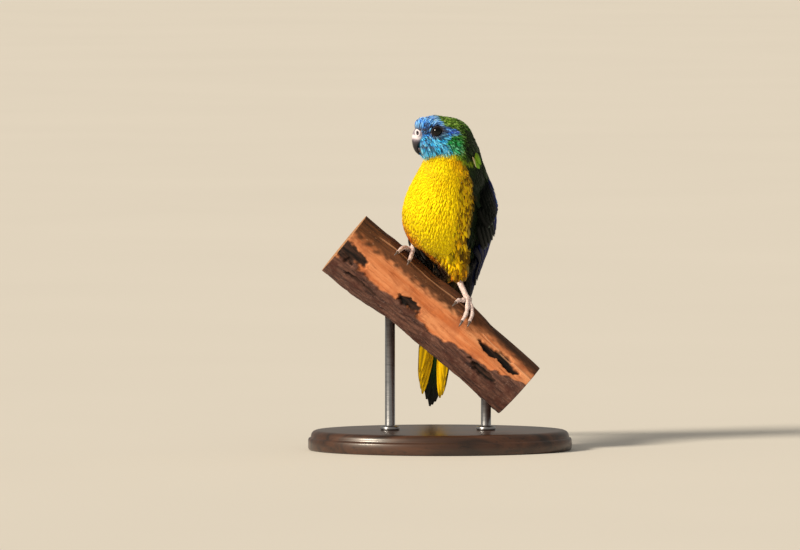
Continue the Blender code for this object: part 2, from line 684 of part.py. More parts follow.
def make_stand():
    """An oval plate with a bevelled edge, and two short rods up to the branch."""
    rings = []
    for inset, height in ((BASE_BEVEL * 0.4, 0.0), (0.0, BASE_BEVEL * 0.4),
                          (0.0, BASE_THICK - BASE_BEVEL), (BASE_BEVEL, BASE_THICK)):
        turns = [2 * math.pi * k / BASE_SIDES for k in range(BASE_SIDES)]
        half_length, half_depth = BASE_LENGTH / 2 - inset, BASE_DEPTH / 2 - inset
        rings.append([np.array([half_length * math.cos(t), half_depth * math.sin(t), height]) for t in turns])
    solid("stand_base", *loft(rings), "base_wood")
    for name, x in ROD_PLACES.items():
        line = [np.array([x, 0, BASE_THICK + GAP]), branch_at(x)[0]]
        rod = solid(name, *tube(line, [ROD_RADIUS] * 2, ROD_SIDES, side=np.array([1.0, 0, 0])), "rod_steel")
        apply_boolean(rod, "DIFFERENCE", [make_branch("fat_branch", GAP)])


def main():
    for old in list(bpy.data.objects):
        bpy.data.objects.remove(old)
    trunk_part("torso", *TRUNK_PARTS[1], 28, "feather_yellow")
    trunk_part("neck", *TRUNK_PARTS[2], 28, "feather_yellow")
    make_tail()
    make_head()
    make_bill()
    make_branch("perch_branch")
    for side in ("left", "right"):
        make_wing(side)
        make_foot(side)
        make_leg(side)
    make_stand()
    for made in bpy.data.objects:
        made.data.shade_smooth()
        made.data.set_sharp_from_angle(angle=math.radians(40))


main()
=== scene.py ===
"""A turquoise parrot at life size on a short cut length of branch, held over a plain oval display stand.

Sizes are in millimetres and each mesh is scaled to metres as it is made. X runs to the viewer's right, Y
away from the viewer and Z up. The bird's form is a smooth blend of ellipsoids round a spine. The skin lies
inside that form by the depth of the plumage, and every feather is laid over it at a height above or below
the form.
"""
import json
import math

import bmesh
import bpy
import numpy as np
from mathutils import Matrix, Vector
from mathutils.kdtree import KDTree

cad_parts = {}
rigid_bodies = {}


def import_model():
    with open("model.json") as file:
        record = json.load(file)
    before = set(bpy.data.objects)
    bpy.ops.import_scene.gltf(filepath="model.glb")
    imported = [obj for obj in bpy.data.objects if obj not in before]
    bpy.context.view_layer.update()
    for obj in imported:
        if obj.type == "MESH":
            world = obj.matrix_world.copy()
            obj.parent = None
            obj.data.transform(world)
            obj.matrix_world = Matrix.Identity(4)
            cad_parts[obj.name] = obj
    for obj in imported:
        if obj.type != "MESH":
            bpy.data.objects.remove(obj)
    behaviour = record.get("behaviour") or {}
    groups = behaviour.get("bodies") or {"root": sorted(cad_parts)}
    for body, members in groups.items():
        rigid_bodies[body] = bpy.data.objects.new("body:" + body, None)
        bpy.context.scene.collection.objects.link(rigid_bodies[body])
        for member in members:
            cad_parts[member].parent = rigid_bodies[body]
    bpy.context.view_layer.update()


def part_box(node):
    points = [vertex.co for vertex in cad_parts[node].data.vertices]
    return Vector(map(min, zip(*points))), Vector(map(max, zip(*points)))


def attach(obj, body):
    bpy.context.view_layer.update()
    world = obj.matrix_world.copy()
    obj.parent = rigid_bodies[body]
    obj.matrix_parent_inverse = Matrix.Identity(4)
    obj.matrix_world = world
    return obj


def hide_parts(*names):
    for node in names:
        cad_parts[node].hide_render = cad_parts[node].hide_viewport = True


MM = 0.001
UP = np.array([0.0, 0.0, 1.0])
SIDES = {"left": 1, "right": -1}

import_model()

# The bird's form: how it faces and leans, then the ellipsoids that it is blended from
BODY_TURN, BODY_PITCH, BODY_LEAN = math.radians(16), math.radians(52), math.radians(10)
HEAD_TURN = math.radians(78)
TORSO_CENTRE = np.array([3.8, -2.0, 123.0])
HEAD_CENTRE = np.array([2.5, -28.0, 159.2])
TAIL_ROOT, TAIL_SHIFT = 43.0, 2.6
TAIL_TIP = np.array([-4.5, 95.6, 16.5])

# The eye's ball and the lids round it
EYE_RADIUS = 3.0
EYE_AHEAD, EYE_ABOVE, EYE_ASIDE = 5.7, 1.6, 6.9
LID_RADIUS, LID_EDGE = 2.55, 3.15

# Further from the spine than any place on the form
FURTHEST = 60.0
# Depth from the form down to the skin
FACE_DEPTH, BODY_DEPTH = 0.7, 1.6


def unit(vectors):
    vectors = np.asarray(vectors, float)
    return vectors / np.maximum(np.linalg.norm(vectors, axis=-1, keepdims=True), 1e-12)


def smoothstep(low, high, value):
    share = np.clip((np.asarray(value, float) - low) / (high - low), 0, 1)
    return share * share * (3 - 2 * share)


def full_turn(count):
    """Evenly spaced angles once round."""
    return 2 * math.pi * np.arange(count) / count


def lengths_along(line):
    """How far along a line each of its points lies."""
    return np.concatenate([[0], np.cumsum(np.linalg.norm(np.diff(line, axis=0), axis=1))])


def facing(turn, pitch, lean=0.0):
    """Forward, left and back directions of a part that faces the viewer, turned to the viewer's left."""
    level = np.array([-math.sin(turn), -math.cos(turn), 0.0])
    forward = level * math.cos(pitch) + UP * math.sin(pitch)
    left = np.array([math.cos(turn), -math.sin(turn), 0.0])
    roll = np.array([[math.cos(lean), 0, math.sin(lean)], [0, 1, 0], [-math.sin(lean), 0, math.cos(lean)]])
    forward, left = roll @ forward, roll @ left
    return np.array([forward, left, np.cross(forward, left)])


BODY = facing(BODY_TURN, BODY_PITCH, BODY_LEAN)
HEAD = facing(HEAD_TURN, 0.0)
TAIL_START = TORSO_CENTRE - BODY[0] * TAIL_ROOT - np.array([TAIL_SHIFT, 0, 0])
TAIL_AXIS = unit(TAIL_TIP - TAIL_START)
TAIL = np.array([-TAIL_AXIS, unit(BODY[1] - TAIL_AXIS * (BODY[1] @ TAIL_AXIS)), np.zeros(3)])
TAIL[2] = np.cross(TAIL[0], TAIL[1])


def on_body(ahead, left, back):
    return TORSO_CENTRE + BODY.T @ np.array([ahead, left, back], float)


def on_head(ahead, left, above):
    return HEAD_CENTRE + HEAD.T @ np.array([ahead, left, above], float)


def in_head(points):
    """Places as forward, left and upward distances from the middle of the head."""
    return (points - HEAD_CENTRE) @ HEAD.T


# Each blob is a centre, the directions of its axes, its radii along them and how softly it joins the rest
TRUNK = [
    (on_body(0, 0.5, 0), BODY, (27.9, 18.9, 17.2), 0),
    (on_body(-14, 2.3, 1), BODY, (31, 15.0, 15), 12),
    (on_body(22.9, 3.3, 0.5), BODY, (23.5, 13.5, 17), 9),
    (np.array([8.4, -18.5, 136.7]), BODY, (16, 7.9, 13), 8),
    (np.array([5.4, -24.0, 151.5]), HEAD, (11.0, 11.6, 12.0), 6),
    (on_head(0.2, 0, -0.2), HEAD, (12.7, 10.4, 9.0), 4),
    (on_head(1.8, 0, -5.0), HEAD, (10.8, 9.6, 7.4), 4),
    (on_head(6.2, 0, 3.2), HEAD, (8.2, 7.4, 5.8), 3),
    (on_head(7.8, 0, -4.2), HEAD, (6.2, 6.0, 7.6), 3),
    (np.array([9.3, -1.0, 95.4]), np.eye(3), (6.2, 8.5, 11.6), 7),
    (np.array([-4.0, 4.5, 113.0]), np.eye(3), (8.5, 9.0, 9.8), 8),
    (on_body(-1.0, -1.3, -11.6), BODY, (17, 16.4, 13.2), 13),
    (TAIL_START + TAIL_AXIS * 12, TAIL, (25, 9.5, 6.5), 10),
]
# The folded wings lie on the trunk drawn out over the root of the tail
FORM = TRUNK + [(TAIL_START + TAIL_AXIS * 30 + [1.8, 0, 0], TAIL, (62, 10.0, 5.2), 9)]
SPINE = [
    TAIL_START + TAIL_AXIS * 66, TAIL_START + TAIL_AXIS * 40, TAIL_START + TAIL_AXIS * 14,
    on_body(-32, 1, 0.5), on_body(-16, 1.5, 0), on_body(2, 1.5, -2), on_body(17, 2.5, 0),
    np.array([6.4, -20.0, 145.0]), np.array([5.2, -24.5, 152.5]), np.array([3.6, -27.2, 160.0]),
    np.array([3.0, -28.0, 175.0]),
]


def blob_distance(points, centre, axes, radii):
    """About how far each point lies outside an ellipsoid."""
    local = (points - centre) @ (axes.T / np.asarray(radii))
    near = np.sqrt(np.einsum("ij,ij->i", local, local))
    local /= radii
    slope = np.sqrt(np.einsum("ij,ij->i", local, local))
    return near * (near - 1.0) / np.maximum(slope, 1e-9)


def form_distance(points, blobs=TRUNK):
    """About how far each point lies outside the smooth blend of the blobs."""
    total = None
    for centre, axes, radii, soft in blobs:
        one = blob_distance(points, centre, axes, radii)
        if total is None:
            total = one
            continue
        blend = np.maximum(soft - np.abs(total - one), 0.0) / soft
        total = np.minimum(total, one) - blend * blend * soft * 0.25
    return total


def form_normals(points, blobs=TRUNK):
    step = 0.05
    here = form_distance(points, blobs)
    slopes = [form_distance(points + np.eye(3)[k] * step, blobs) - here for k in range(3)]
    return unit(np.stack(slopes, axis=1))


def settle(points, heights, blobs=TRUNK):
    """Moves points to the given heights over the form."""
    points = np.array(points, float)
    for _ in range(2):
        normals = form_normals(points, blobs)
        for _ in range(2):
            points += normals * (heights - form_distance(points, blobs))[:, None]
    return points


def smooth_path(points, count):
    """Evenly spaced points along a Catmull-Rom curve through the given ones."""
    points = np.asarray(points, float)
    padded = np.vstack([2 * points[0] - points[1], points, 2 * points[-1] - points[-2]])
    fine = []
    for a, b, c, d in zip(padded, padded[1:], padded[2:], padded[3:]):
        for t in np.linspace(0, 1, 24, endpoint=False):
            fine.append(0.5 * (2 * b + (c - a) * t + (2 * a - 5 * b + 4 * c - d) * t**2
                               + (3 * b - a - 3 * c + d) * t**3))
    fine = np.array(fine + [points[-1]])
    length = lengths_along(fine)
    wanted = np.linspace(0, length[-1], count)
    return np.stack([np.interp(wanted, length, fine[:, k]) for k in range(fine.shape[1])], axis=1)


SPINE_STEPS = 400
SPINE_LINE = smooth_path(SPINE, SPINE_STEPS)
SPINE_LENGTH = float(np.linalg.norm(np.diff(SPINE_LINE, axis=0), axis=1).sum())
SPINE_FORWARD = unit(np.gradient(SPINE_LINE, axis=0))
SPINE_LEFT = unit(BODY[1] - SPINE_FORWARD * (SPINE_FORWARD @ BODY[1])[:, None])
SPINE_BACK = np.cross(SPINE_FORWARD, SPINE_LEFT)


def spine_at(along):
    """The spine's points, and its forward, left and back directions, from 0 at the rear to 1 at the crown."""
    place = np.clip(along, 0, 1) * (SPINE_STEPS - 1)
    steps = np.arange(SPINE_STEPS)
    return [np.stack([np.interp(place, steps, rows[:, k]) for k in range(3)], axis=-1)
            for rows in (SPINE_LINE, SPINE_FORWARD, SPINE_LEFT, SPINE_BACK)]


def reach(starts, directions, blobs=TRUNK):
    """How far along each direction the form's surface lies from a start inside it."""
    low, high = np.zeros(len(starts)), np.full(len(starts), FURTHEST)
    for _ in range(20):
        middle = (low + high) / 2
        inside = form_distance(starts + directions * middle[:, None], blobs) < 0
        low, high = np.where(inside, middle, low), np.where(inside, high, middle)
    return low


def on_form(along, turns, blobs=TRUNK):
    """Points of the surface at places along the spine and turns round it, 0 being the belly line."""
    along, turns = np.broadcast_arrays(along, turns)
    point, _, left, back = spine_at(along)
    ways = -back * np.cos(turns)[..., None] + left * np.sin(turns)[..., None]
    flat = ways.reshape(-1, 3)
    starts = point.reshape(-1, 3)
    return (starts + flat * reach(starts, flat, blobs)[:, None]).reshape(ways.shape)


def along_of(points):
    """The places along the spine that are nearest to points, and their turns round it."""
    points = np.atleast_2d(points)
    nearest = []
    for block in np.array_split(points, max(1, len(points) // 4000)):
        apart = ((block[:, None, :] - SPINE_LINE[None]) ** 2).sum(axis=2)
        nearest.append(np.argmin(apart, axis=1))
    nearest = np.concatenate(nearest)
    offset = points - SPINE_LINE[nearest]
    left = np.einsum("ij,ij->i", offset, SPINE_LEFT[nearest])
    back = np.einsum("ij,ij->i", offset, SPINE_BACK[nearest])
    return nearest / (SPINE_STEPS - 1), np.arctan2(left, -back)


INSIDE = np.flatnonzero(form_distance(SPINE_LINE) < 0)
REAR, CROWN = INSIDE[0] / (SPINE_STEPS - 1), INSIDE[-1] / (SPINE_STEPS - 1)
# Where the face's short feathers begin, and the bend of the folded wings
HEAD_CUT = along_of(np.array([5.6, -24.4, 152.6]))[0][0]
WING_BEND = along_of(on_body(21, 0, 0))[0][0]


def wavy(points, size, seed=0.0):
    """Smooth noise from -1 to 1 whose patches are about that many millimetres across."""
    p = np.asarray(points, float) / size * 2.2 + seed
    x, y, z = p[..., 0], p[..., 1], p[..., 2]
    total = np.sin(x + 1.7 * np.sin(0.83 * y + z)) + np.sin(y * 1.13 + 1.5 * np.sin(0.91 * z + 0.7 * x) + 2.0)
    return (total + np.sin(z * 0.97 + 1.6 * np.sin(1.07 * x + 0.8 * y) + 4.0)) / 3


def linear(colour):
    """A colour written as sRGB hex, as the linear numbers that the renderer uses."""
    channels = [int(colour[k:k + 2], 16) / 255 for k in (1, 3, 5)]
    return np.array([c / 12.92 if c < 0.04045 else ((c + 0.055) / 1.055) ** 2.4 for c in channels])


def plain(colour, count):
    """One colour for each of so many points."""
    return np.repeat(linear(colour)[None], count, axis=0)


def add(tree, kind, inputs=None, **settings):
    """Adds a node, sets its properties, and sets or links its inputs by name or number. Returns the node."""
    made = tree.nodes.new(kind)
    for name, value in settings.items():
        setattr(made, name, value)
    for name, value in (inputs or {}).items():
        socket = made.inputs[name]
        if isinstance(value, bpy.types.NodeSocket):
            tree.links.new(value, socket)
        elif isinstance(value, str) and value.startswith("#"):
            socket.default_value = (*linear(value), 1.0)
        else:
            socket.default_value = value
    return made


def new_material(name, roughness, **settings):
    """A material with a Principled shader, whose all-over numbers are set on its own sockets."""
    material = bpy.data.materials.new(name)
    material.use_nodes = True
    shader = material.node_tree.nodes["Principled BSDF"]
    shader.inputs["Roughness"].default_value = roughness
    for key, value in settings.items():
        shader.inputs[key.replace("_", " ")].default_value = value
    return material, material.node_tree, shader


def dress(tree, shader, colour, height=None, strength=0.0, depth=0.0):
    """Links a material's colour and, where it has one, its fine relief, whose depth is in millimetres."""
    tree.links.new(colour, shader.inputs["Base Color"])
    if height is not None:
        bump = add(tree, "ShaderNodeBump", {"Height": height, "Strength": strength, "Distance": depth * MM})
        tree.links.new(bump.outputs[0], shader.inputs["Normal"])


def mesh_object(name, points, faces, material):
    """A mesh object in metres from points in millimetres, with its faces turned outwards."""
    mesh = bpy.data.meshes.new(name)
    mesh.from_pydata((np.asarray(points, float) * MM).tolist(), [], faces)
    shape = bmesh.new()
    shape.from_mesh(mesh)
    bmesh.ops.recalc_face_normals(shape, faces=shape.faces)
    shape.to_mesh(mesh)
    shape.free()
    mesh.shade_smooth()
    made = bpy.data.objects.new(name, mesh)
    mesh.materials.append(material)
    bpy.context.scene.collection.objects.link(made)
    return made


def join(name, parts, material):
    """One mesh object from several closed surfaces."""
    points, faces, count = [], [], 0
    for some, more in parts:
        points.append(some)
        faces += [tuple(index + count for index in face) for face in more]
        count += len(some)
    return mesh_object(name, np.vstack(points), faces, material)


def finish_piece(piece, slot, *nodes):
    """Sets what the piece rides on and hides the nodes that it stands for, if any. Its slot is not used."""
    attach(piece, "root")
    if nodes:
        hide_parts(*nodes)


def put(mesh, name, kind, values, domain="POINT"):
    """Stores an attribute of a mesh: kind FLOAT, INT, FLOAT_VECTOR or FLOAT_COLOR."""
    key = {"FLOAT": "value", "INT": "value", "FLOAT_VECTOR": "vector", "FLOAT_COLOR": "color"}[kind]
    values = np.asarray(values, np.int32 if kind == "INT" else np.float32)
    if kind == "FLOAT_COLOR":
        values = np.hstack([values, np.ones((len(values), 1), np.float32)])
    mesh.attributes.new(name, kind, domain).data.foreach_set(key, values.ravel())


def get(mesh, name, width):
    """Reads a mesh's attribute of one or three numbers to a point as an array."""
    data = mesh.attributes[name].data
    values = np.zeros(len(data) * width, np.float32)
    data.foreach_get({1: "value", 3: "vector"}[width], values)
    return values.reshape(-1, width) if width > 1 else values


def ring_faces(rows, sides):
    """Faces between rows of points, each row a closed ring of so many sides."""
    faces = []
    for row in range(rows - 1):
        for k in range(sides):
            a, b = row * sides + k, row * sides + (k + 1) % sides
            faces.append((a, b, b + sides, a + sides))
    return faces


def loft(rings, start_point=None, end_point=None):
    """Points and faces of a closed skin over rings of equal count, its ends closed to middle points."""
    rings = [np.asarray(r, float) for r in rings]
    sides = len(rings[0])
    points = np.vstack(rings)
    faces = ring_faces(len(rings), sides)
    for end, first in ((start_point, 0), (end_point, (len(rings) - 1) * sides)):
        middle = rings[0 if first == 0 else -1].mean(0) if end is None else end
        points = np.vstack([points, middle])
        faces += [(len(points) - 1, first + k, first + (k + 1) % sides) for k in range(sides)]
    return points, faces


def tube_rings(line, radii, sides, flat=1.0, side=None):
    """Rings of a tube along a line. flat is its height as a share of its width."""
    line = np.asarray(line, float)
    flat = np.broadcast_to(flat, len(line))
    tangents = unit(np.gradient(line, axis=0))
    across = unit(side if side is not None else np.cross(tangents[0], UP))
    turns = full_turn(sides)
    rings = []
    for point, tangent, radius, share in zip(line, tangents, radii, flat):
        across = unit(across - tangent * (across @ tangent))
        up = np.cross(across, tangent)
        rings.append(point + radius * (np.outer(np.cos(turns), across) + np.outer(np.sin(turns) * share, up)))
    return rings


# Colours of the plumage

# How far back from the bill the blue of the face reaches, by height over the middle of the head
BLUE_ABOVE = [-14.0, -11.0, -7.7, -3.6, -1.0, 0.4, 1.4, 2.6, 3.8, 5.6, 7.8, 11.0]
BLUE_BACK = [-3.0, -1.2, 0.3, 2.6, 2.4, -2.4, -3.8, -2.2, 1.6, 4.0, 6.2, 7.8]
# Where the yellow ends: degrees up from the belly line, by distance back from the bend of the wing
BORDER_BACK = [-16, -9.8, -6, 0, 5.5, 16, 26, 34, 41, 60]
BORDER_TURN = [98, 88, 78, 74, 74, 72, 66, 60, 56, 60]
# On the left side, which the viewer sees, how far right it reaches by height
FLANK_HEIGHT = [84, 91, 101, 108.5, 114.5, 118, 124.6, 131.7, 138.7, 143.7, 146.2, 149]
FLANK_REACH = [11.0, 13.4, 13.2, 12.9, 12.9, 14.0, 15.6, 15.1, 14.2, 12.8, 10.8, 8.0]


def mixed(base, colour, amount):
    """Colours drawn towards another, which is written as sRGB hex or given for each point."""
    amount = np.asarray(amount, float)[:, None]
    return base * (1 - amount) + (linear(colour) if isinstance(colour, str) else colour) * amount


def above_chin(points):
    """How far points lie over the line where the face's blue ends and the throat's yellow begins."""
    ends = np.interp(points[:, 0], [-8, -5, 0, 7.5, 11, 14], [-10.9, -9.3, -8.9, -9.5, -11.2, -13.0])
    return (points - HEAD_CENTRE) @ HEAD[2] - ends


def flank_shade(points):
    """From 0 on the open breast to 1 on the left flank, where painted highlights and painted shade break the
    yellow into pale and dark streaks.
    """
    _, turn = along_of(points)
    reach = np.interp(points[:, 2], FLANK_HEIGHT, FLANK_REACH)
    low = smoothstep(118, 100, points[:, 2]) * 4.0
    inside = smoothstep(-8.0 - low, -1.0, points[:, 0] - reach) * smoothstep(2.5, 0.0, points[:, 0] - reach)
    return inside * (turn > 0) * (points[:, 2] < 144)


def plumage(points):
    """The plumage's colour at points of the body, as linear red, green and blue."""
    along, turn = along_of(points)
    head = in_head(points)
    body = (points - TORSO_CENTRE) @ BODY.T
    ragged = wavy(points, 4.0) * 0.8 + wavy(points, 1.5, 3.0) * 0.7
    degrees = np.degrees(turn)
    side = np.abs(degrees)
    back = (WING_BEND - along) * SPINE_LENGTH
    # Back: grass green, darker and browner on the nape and the sides of the neck, and near black on the hind
    # neck and over the shoulders and the sides of the body. All of this darkening is painted shade
    colour = plain("#3F701A", len(points))
    colour = mixed(colour, "#5A8A20", smoothstep(-0.3, 0.6, wavy(points, 7.0, 5.0)) * 0.6)
    nape = smoothstep(2, -7, head[:, 0]) * smoothstep(-26, -14, head[:, 2]) * smoothstep(9, 2, head[:, 2])
    colour = mixed(colour, "#2C4A12", nape * (0.5 + 0.35 * wavy(points, 2.4, 2.0)))
    hind = smoothstep(-5.5, -9.0, head[:, 0] + ragged) * smoothstep(-26, -12, head[:, 2])
    hind = hind * smoothstep(6, 0, head[:, 2])
    colour = mixed(colour, "#0C1806", hind * 0.85)
    shoulder = smoothstep(-14, -7, back) * smoothstep(150, 115, side)
    colour = mixed(colour, "#10240C", shoulder * 0.85)
    # Breast and belly: clear yellow, warmer towards the vent and the thighs. On the flanks painted shade
    # turns it orange-brown
    yellow = plain("#FFE400", len(points))
    yellow = mixed(yellow, "#FFD000", smoothstep(0.0, 0.9, wavy(points, 9.0, 1.0)) * 0.3)
    low = smoothstep(-8, -28, body[:, 0] + ragged * 2.5)
    yellow = mixed(yellow, "#FFB400", low * 0.7)
    flamed = smoothstep(-12, -24, body[:, 0]) * smoothstep(0.0, 0.7, wavy(points, 3.6, 8.0))
    yellow = mixed(yellow, "#EA5A00", flamed * 0.75)
    # Painted shade: orange-brown with dark streaks over the flanks
    reach = np.interp(points[:, 2], FLANK_HEIGHT, FLANK_REACH) + ragged * 0.8
    painted_flank_shade = np.where(turn > 0, smoothstep(-10.0, 0.0, points[:, 0] - reach), smoothstep(75, 110, side))
    yellow = mixed(yellow, "#E08A00", painted_flank_shade * 0.6)
    streaked = painted_flank_shade * smoothstep(-0.1, 0.6, wavy(points * [1, 1, 0.45], 2.2, 4.0))
    yellow = mixed(yellow, "#5A3600", np.clip(streaked, 0, 1) * 0.75)
    # Painted sunlight: orange along the lower line of the belly
    underside = np.interp(back, [18, 25, 28, 37, 45], [-38, -31, -22, -12, -8])
    painted_sunlit_rim = smoothstep(underside + 17, underside + 3, degrees) * smoothstep(-95, -70, degrees)
    painted_sunlit_rim = painted_sunlit_rim * smoothstep(17, 24, back)
    yellow = mixed(yellow, "#F07410", np.clip(painted_sunlit_rim * (0.75 + 0.4 * wavy(points, 3.0, 2.0)), 0, 1))
    # Painted shade: near-black brown over the vent, below the belly
    vent = smoothstep(19, 30, -body[:, 0]) * smoothstep(80, 35, np.abs(degrees + 12))
    yellow = mixed(yellow, "#2E1C04", vent * 0.92 * smoothstep(9.0, 3.0, points[:, 0]))
    chin = above_chin(points)
    below = smoothstep(0.9, -0.9, chin + ragged * 0.6)
    border = np.interp(back, BORDER_BACK, BORDER_TURN) + np.where(turn > 0, 0, 32)
    bib = below * smoothstep(border + 5, border - 3, side + ragged * 4)
    bib = np.where(turn > 0, bib * smoothstep(1.6, -0.9, points[:, 0] - reach), bib)
    # Painted shade: near black-green beyond the yellow, on the left side of the breast and body
    painted_side_shade = np.where(turn > 0, smoothstep(-3.0, 1.0, points[:, 0] - reach), 0) * smoothstep(-13, -6, back)
    painted_side_shade = painted_side_shade * smoothstep(118, 92, side)
    colour = mixed(colour, "#0A1A08", painted_side_shade * 0.9)
    colour = mixed(colour, yellow, bib)
    # Face: turquoise, bluer on the forehead and round the eye, brighter on the throat
    blue_back = np.interp(head[:, 2], BLUE_ABOVE, BLUE_BACK)
    face = plain("#1AA2E2", len(points))
    face = mixed(face, "#2F7CEC", smoothstep(-2.0, 2.5, head[:, 2]) * 0.75)
    # Painted highlight: paler blue on top of the forehead
    face = mixed(face, "#74BCFF", smoothstep(3.0, 6.5, head[:, 2]) * smoothstep(-1, 5, head[:, 0]) * 0.45)
    streak = np.exp(-((head[:, 2] - 1.9) / 1.5) ** 2) * smoothstep(4, 0, head[:, 0])
    face = mixed(face, "#2C49CE", streak * 0.85)
    face = mixed(face, "#3EC4F6", smoothstep(-3, -9, head[:, 2]) * 0.65)
    lores = np.exp(-((head[:, 2] - 0.4) / 1.1) ** 2) * smoothstep(6, 8.5, head[:, 0])
    face = mixed(face, "#0C3F9A", lores * 0.7)
    face = mixed(face, "#7FD4FA", smoothstep(0.15, 0.8, wavy(points, 2.2, 6.0)) * 0.4)
    face = mixed(face, "#0E62B8", smoothstep(0.2, 0.9, wavy(points, 1.9, 12.0)) * 0.45)
    # Black in front of the eye, and dark blue close round it
    front = ((head[:, 2] - 2.0) / 0.9) ** 2 + ((head[:, 0] - 8.9) / 1.6) ** 2
    face = mixed(face, "#020306", np.minimum(np.exp(-front) * 1.6, 1))
    near_eye = from_eyes(points + HEAD[0] * 0.5 + UP * 0.3)
    face = mixed(face, "#040A24", smoothstep(4.3, 3.7, near_eye + 0.3 * wavy(points, 2.0)) * 0.8)
    amount = smoothstep(-0.9, 0.9, head[:, 0] - blue_back + ragged * 0.75) * (1 - below)
    # Ear: clear green between the blue cheek and the darker neck
    ear = np.exp(-((head[:, 2] + 3.4) / 3.4) ** 2) * smoothstep(-7.5, -3, head[:, 0]) * (1 - bib)
    colour = mixed(colour, "#149A44", ear * 0.85)
    sheen_green = np.exp(-((head[:, 2] + 6.5) / 2.6) ** 2) * smoothstep(-6.5, -2.5, head[:, 0]) * (1 - bib)
    colour = mixed(colour, "#3FC08E", sheen_green * 0.65)
    crown = smoothstep(3.5, 7, head[:, 2]) * smoothstep(-9, 2, head[:, 0])
    colour = mixed(colour, "#6B9A20", crown * 0.7)
    colour = mixed(colour, face, amount)
    # Where blue meets yellow the tips mix to yellow-green
    edge = np.exp(-(chin / 0.9) ** 2) * smoothstep(-4, 6, points[:, 0]) * smoothstep(112, 80, side)
    colour = mixed(colour, "#9DBB22", edge * 0.6)
    return colour


def vane_place(tree):
    """The place on a feather: across from -1 to 1, and along from 0 at the root to 1 at the tip."""
    place = add(tree, "ShaderNodeAttribute", attribute_name="vane")
    return add(tree, "ShaderNodeSeparateXYZ", {0: place.outputs["Vector"]}).outputs[:2]


def barb_waves(tree, across, along, barbs, lean):
    """Waves from -1 to 1 that run out from the shaft and lean towards the tip, one wave to a barb."""
    out = add(tree, "ShaderNodeMath", {0: across}, operation="ABSOLUTE").outputs[0]
    slanted = add(tree, "ShaderNodeMath", {0: out, 1: -lean, 2: along}, operation="MULTIPLY_ADD").outputs[0]
    phase = add(tree, "ShaderNodeMath", {0: slanted, 1: barbs * 2 * math.pi}, operation="MULTIPLY").outputs[0]
    return add(tree, "ShaderNodeMath", {0: phase}, operation="SINE").outputs[0]


def feather_material(name, roughness, barbs, lean, tip_highlight, root_shading, root_shade_tint, sheen, specular):
    """Feather keratin, matt and softly lit from the side by its barbs. The colour comes with each feather."""
    material, tree, shader = new_material(
        name, roughness, Sheen_Weight=sheen, Sheen_Roughness=0.45, Specular_IOR_Level=specular)
    across, along = vane_place(tree)
    colour = add(tree, "ShaderNodeAttribute", attribute_name="plumage").outputs["Color"]
    waves = barb_waves(tree, across, along, barbs, lean)
    # Barbs show as fine light and dark lines. Painted shade dulls and tints the covered root, and a painted
    # highlight brightens the tip
    light = add(tree, "ShaderNodeMapRange", {"Value": waves, "From Min": -1.0, "From Max": 1.0,
                                             "To Min": 0.86, "To Max": 1.06}).outputs[0]
    rising = add(tree, "ShaderNodeMapRange", {"Value": along, "From Min": 0.1, "From Max": 0.62,
                                              "To Min": root_shading, "To Max": 1.0}).outputs[0]
    tinted = add(tree, "ShaderNodeMix", {"Factor": rising, "A": root_shade_tint, "B": "#FFFFFF"}, data_type="RGBA")
    colour = add(tree, "ShaderNodeVectorMath", {0: colour, 1: tinted.outputs["Result"]},
                 operation="MULTIPLY").outputs[0]
    tip = add(tree, "ShaderNodeMapRange", {"Value": along, "From Min": 0.7, "From Max": 1.0,
                                           "To Min": 1.0, "To Max": tip_highlight}).outputs[0]
    shade = add(tree, "ShaderNodeMath", {0: light, 1: rising}, operation="MULTIPLY").outputs[0]
    shade = add(tree, "ShaderNodeMath", {0: shade, 1: tip}, operation="MULTIPLY").outputs[0]
    shaded = add(tree, "ShaderNodeVectorMath", {0: colour, "Scale": shade}, operation="SCALE").outputs[0]
    dress(tree, shader, shaded, waves, 0.25, 0.05)
    return material


# In each material below, the root darkening and its tint are painted shade, and the tip brightening is a
# painted highlight
# Small feathers: matt, with a few coarse barbs each, since real ones are finer than the picture shows
COAT = feather_material("matt_contour_feather", 0.66, 5.0, 0.35, 1.08, 0.74, "#FF9A50", 0.03, 0.12)
# Face feathers: short, with a painted highlight at the tip and painted shade at the root, so that each one
# shows
FACE = feather_material("glossed_face_feather", 0.45, 4.0, 0.4, 2.3, 0.2, "#B0C8FF", 0.25, 0.45)
# Crown and nape: the same short feathers, matt
NAPE = feather_material("matt_nape_feather", 0.6, 4.0, 0.4, 1.9, 0.16, "#C0D080", 0.04, 0.15)
# Small feathers of the wing: close and sleek
COVERT = feather_material("sleek_wing_covert", 0.6, 5.0, 0.35, 1.35, 0.5, "#FFFFFF", 0.0, 0.05)
# Wing and tail feathers: firmer and a little glossy, their barbs about half a millimetre apart
FLIGHT = feather_material("glossed_flight_feather", 0.55, 26.0, 0.16, 1.0, 0.85, "#FFFFFF", 0.0, 0.05)


def skin_material():
    """Skin under the plumage, seen only between feathers: the same colours, dulled like down and darkened by
    painted shade.
    """
    material, tree, shader = new_material("down_over_skin", 0.85, Specular_IOR_Level=0.2)
    colour = add(tree, "ShaderNodeAttribute", attribute_name="plumage").outputs["Color"]
    place = add(tree, "ShaderNodeTexCoord").outputs["Object"]
    noise = add(tree, "ShaderNodeTexNoise", {"Vector": place, "Scale": 900.0, "Detail": 3.0}).outputs[0]
    shade = add(tree, "ShaderNodeMapRange", {"Value": noise, "To Min": 0.3, "To Max": 0.75}).outputs[0]
    shaded = add(tree, "ShaderNodeVectorMath", {0: colour, "Scale": shade}, operation="SCALE").outputs[0]
    dress(tree, shader, shaded, noise, 0.4, 0.2)
    return material


DOWN = skin_material()

# Skin: one closed surface from the root of the tail to the crown
SKIN_RINGS, SKIN_SIDES = 150, 96


def depth_at(along):
    return np.interp(along, [HEAD_CUT - 0.06, HEAD_CUT + 0.03], [BODY_DEPTH, FACE_DEPTH])


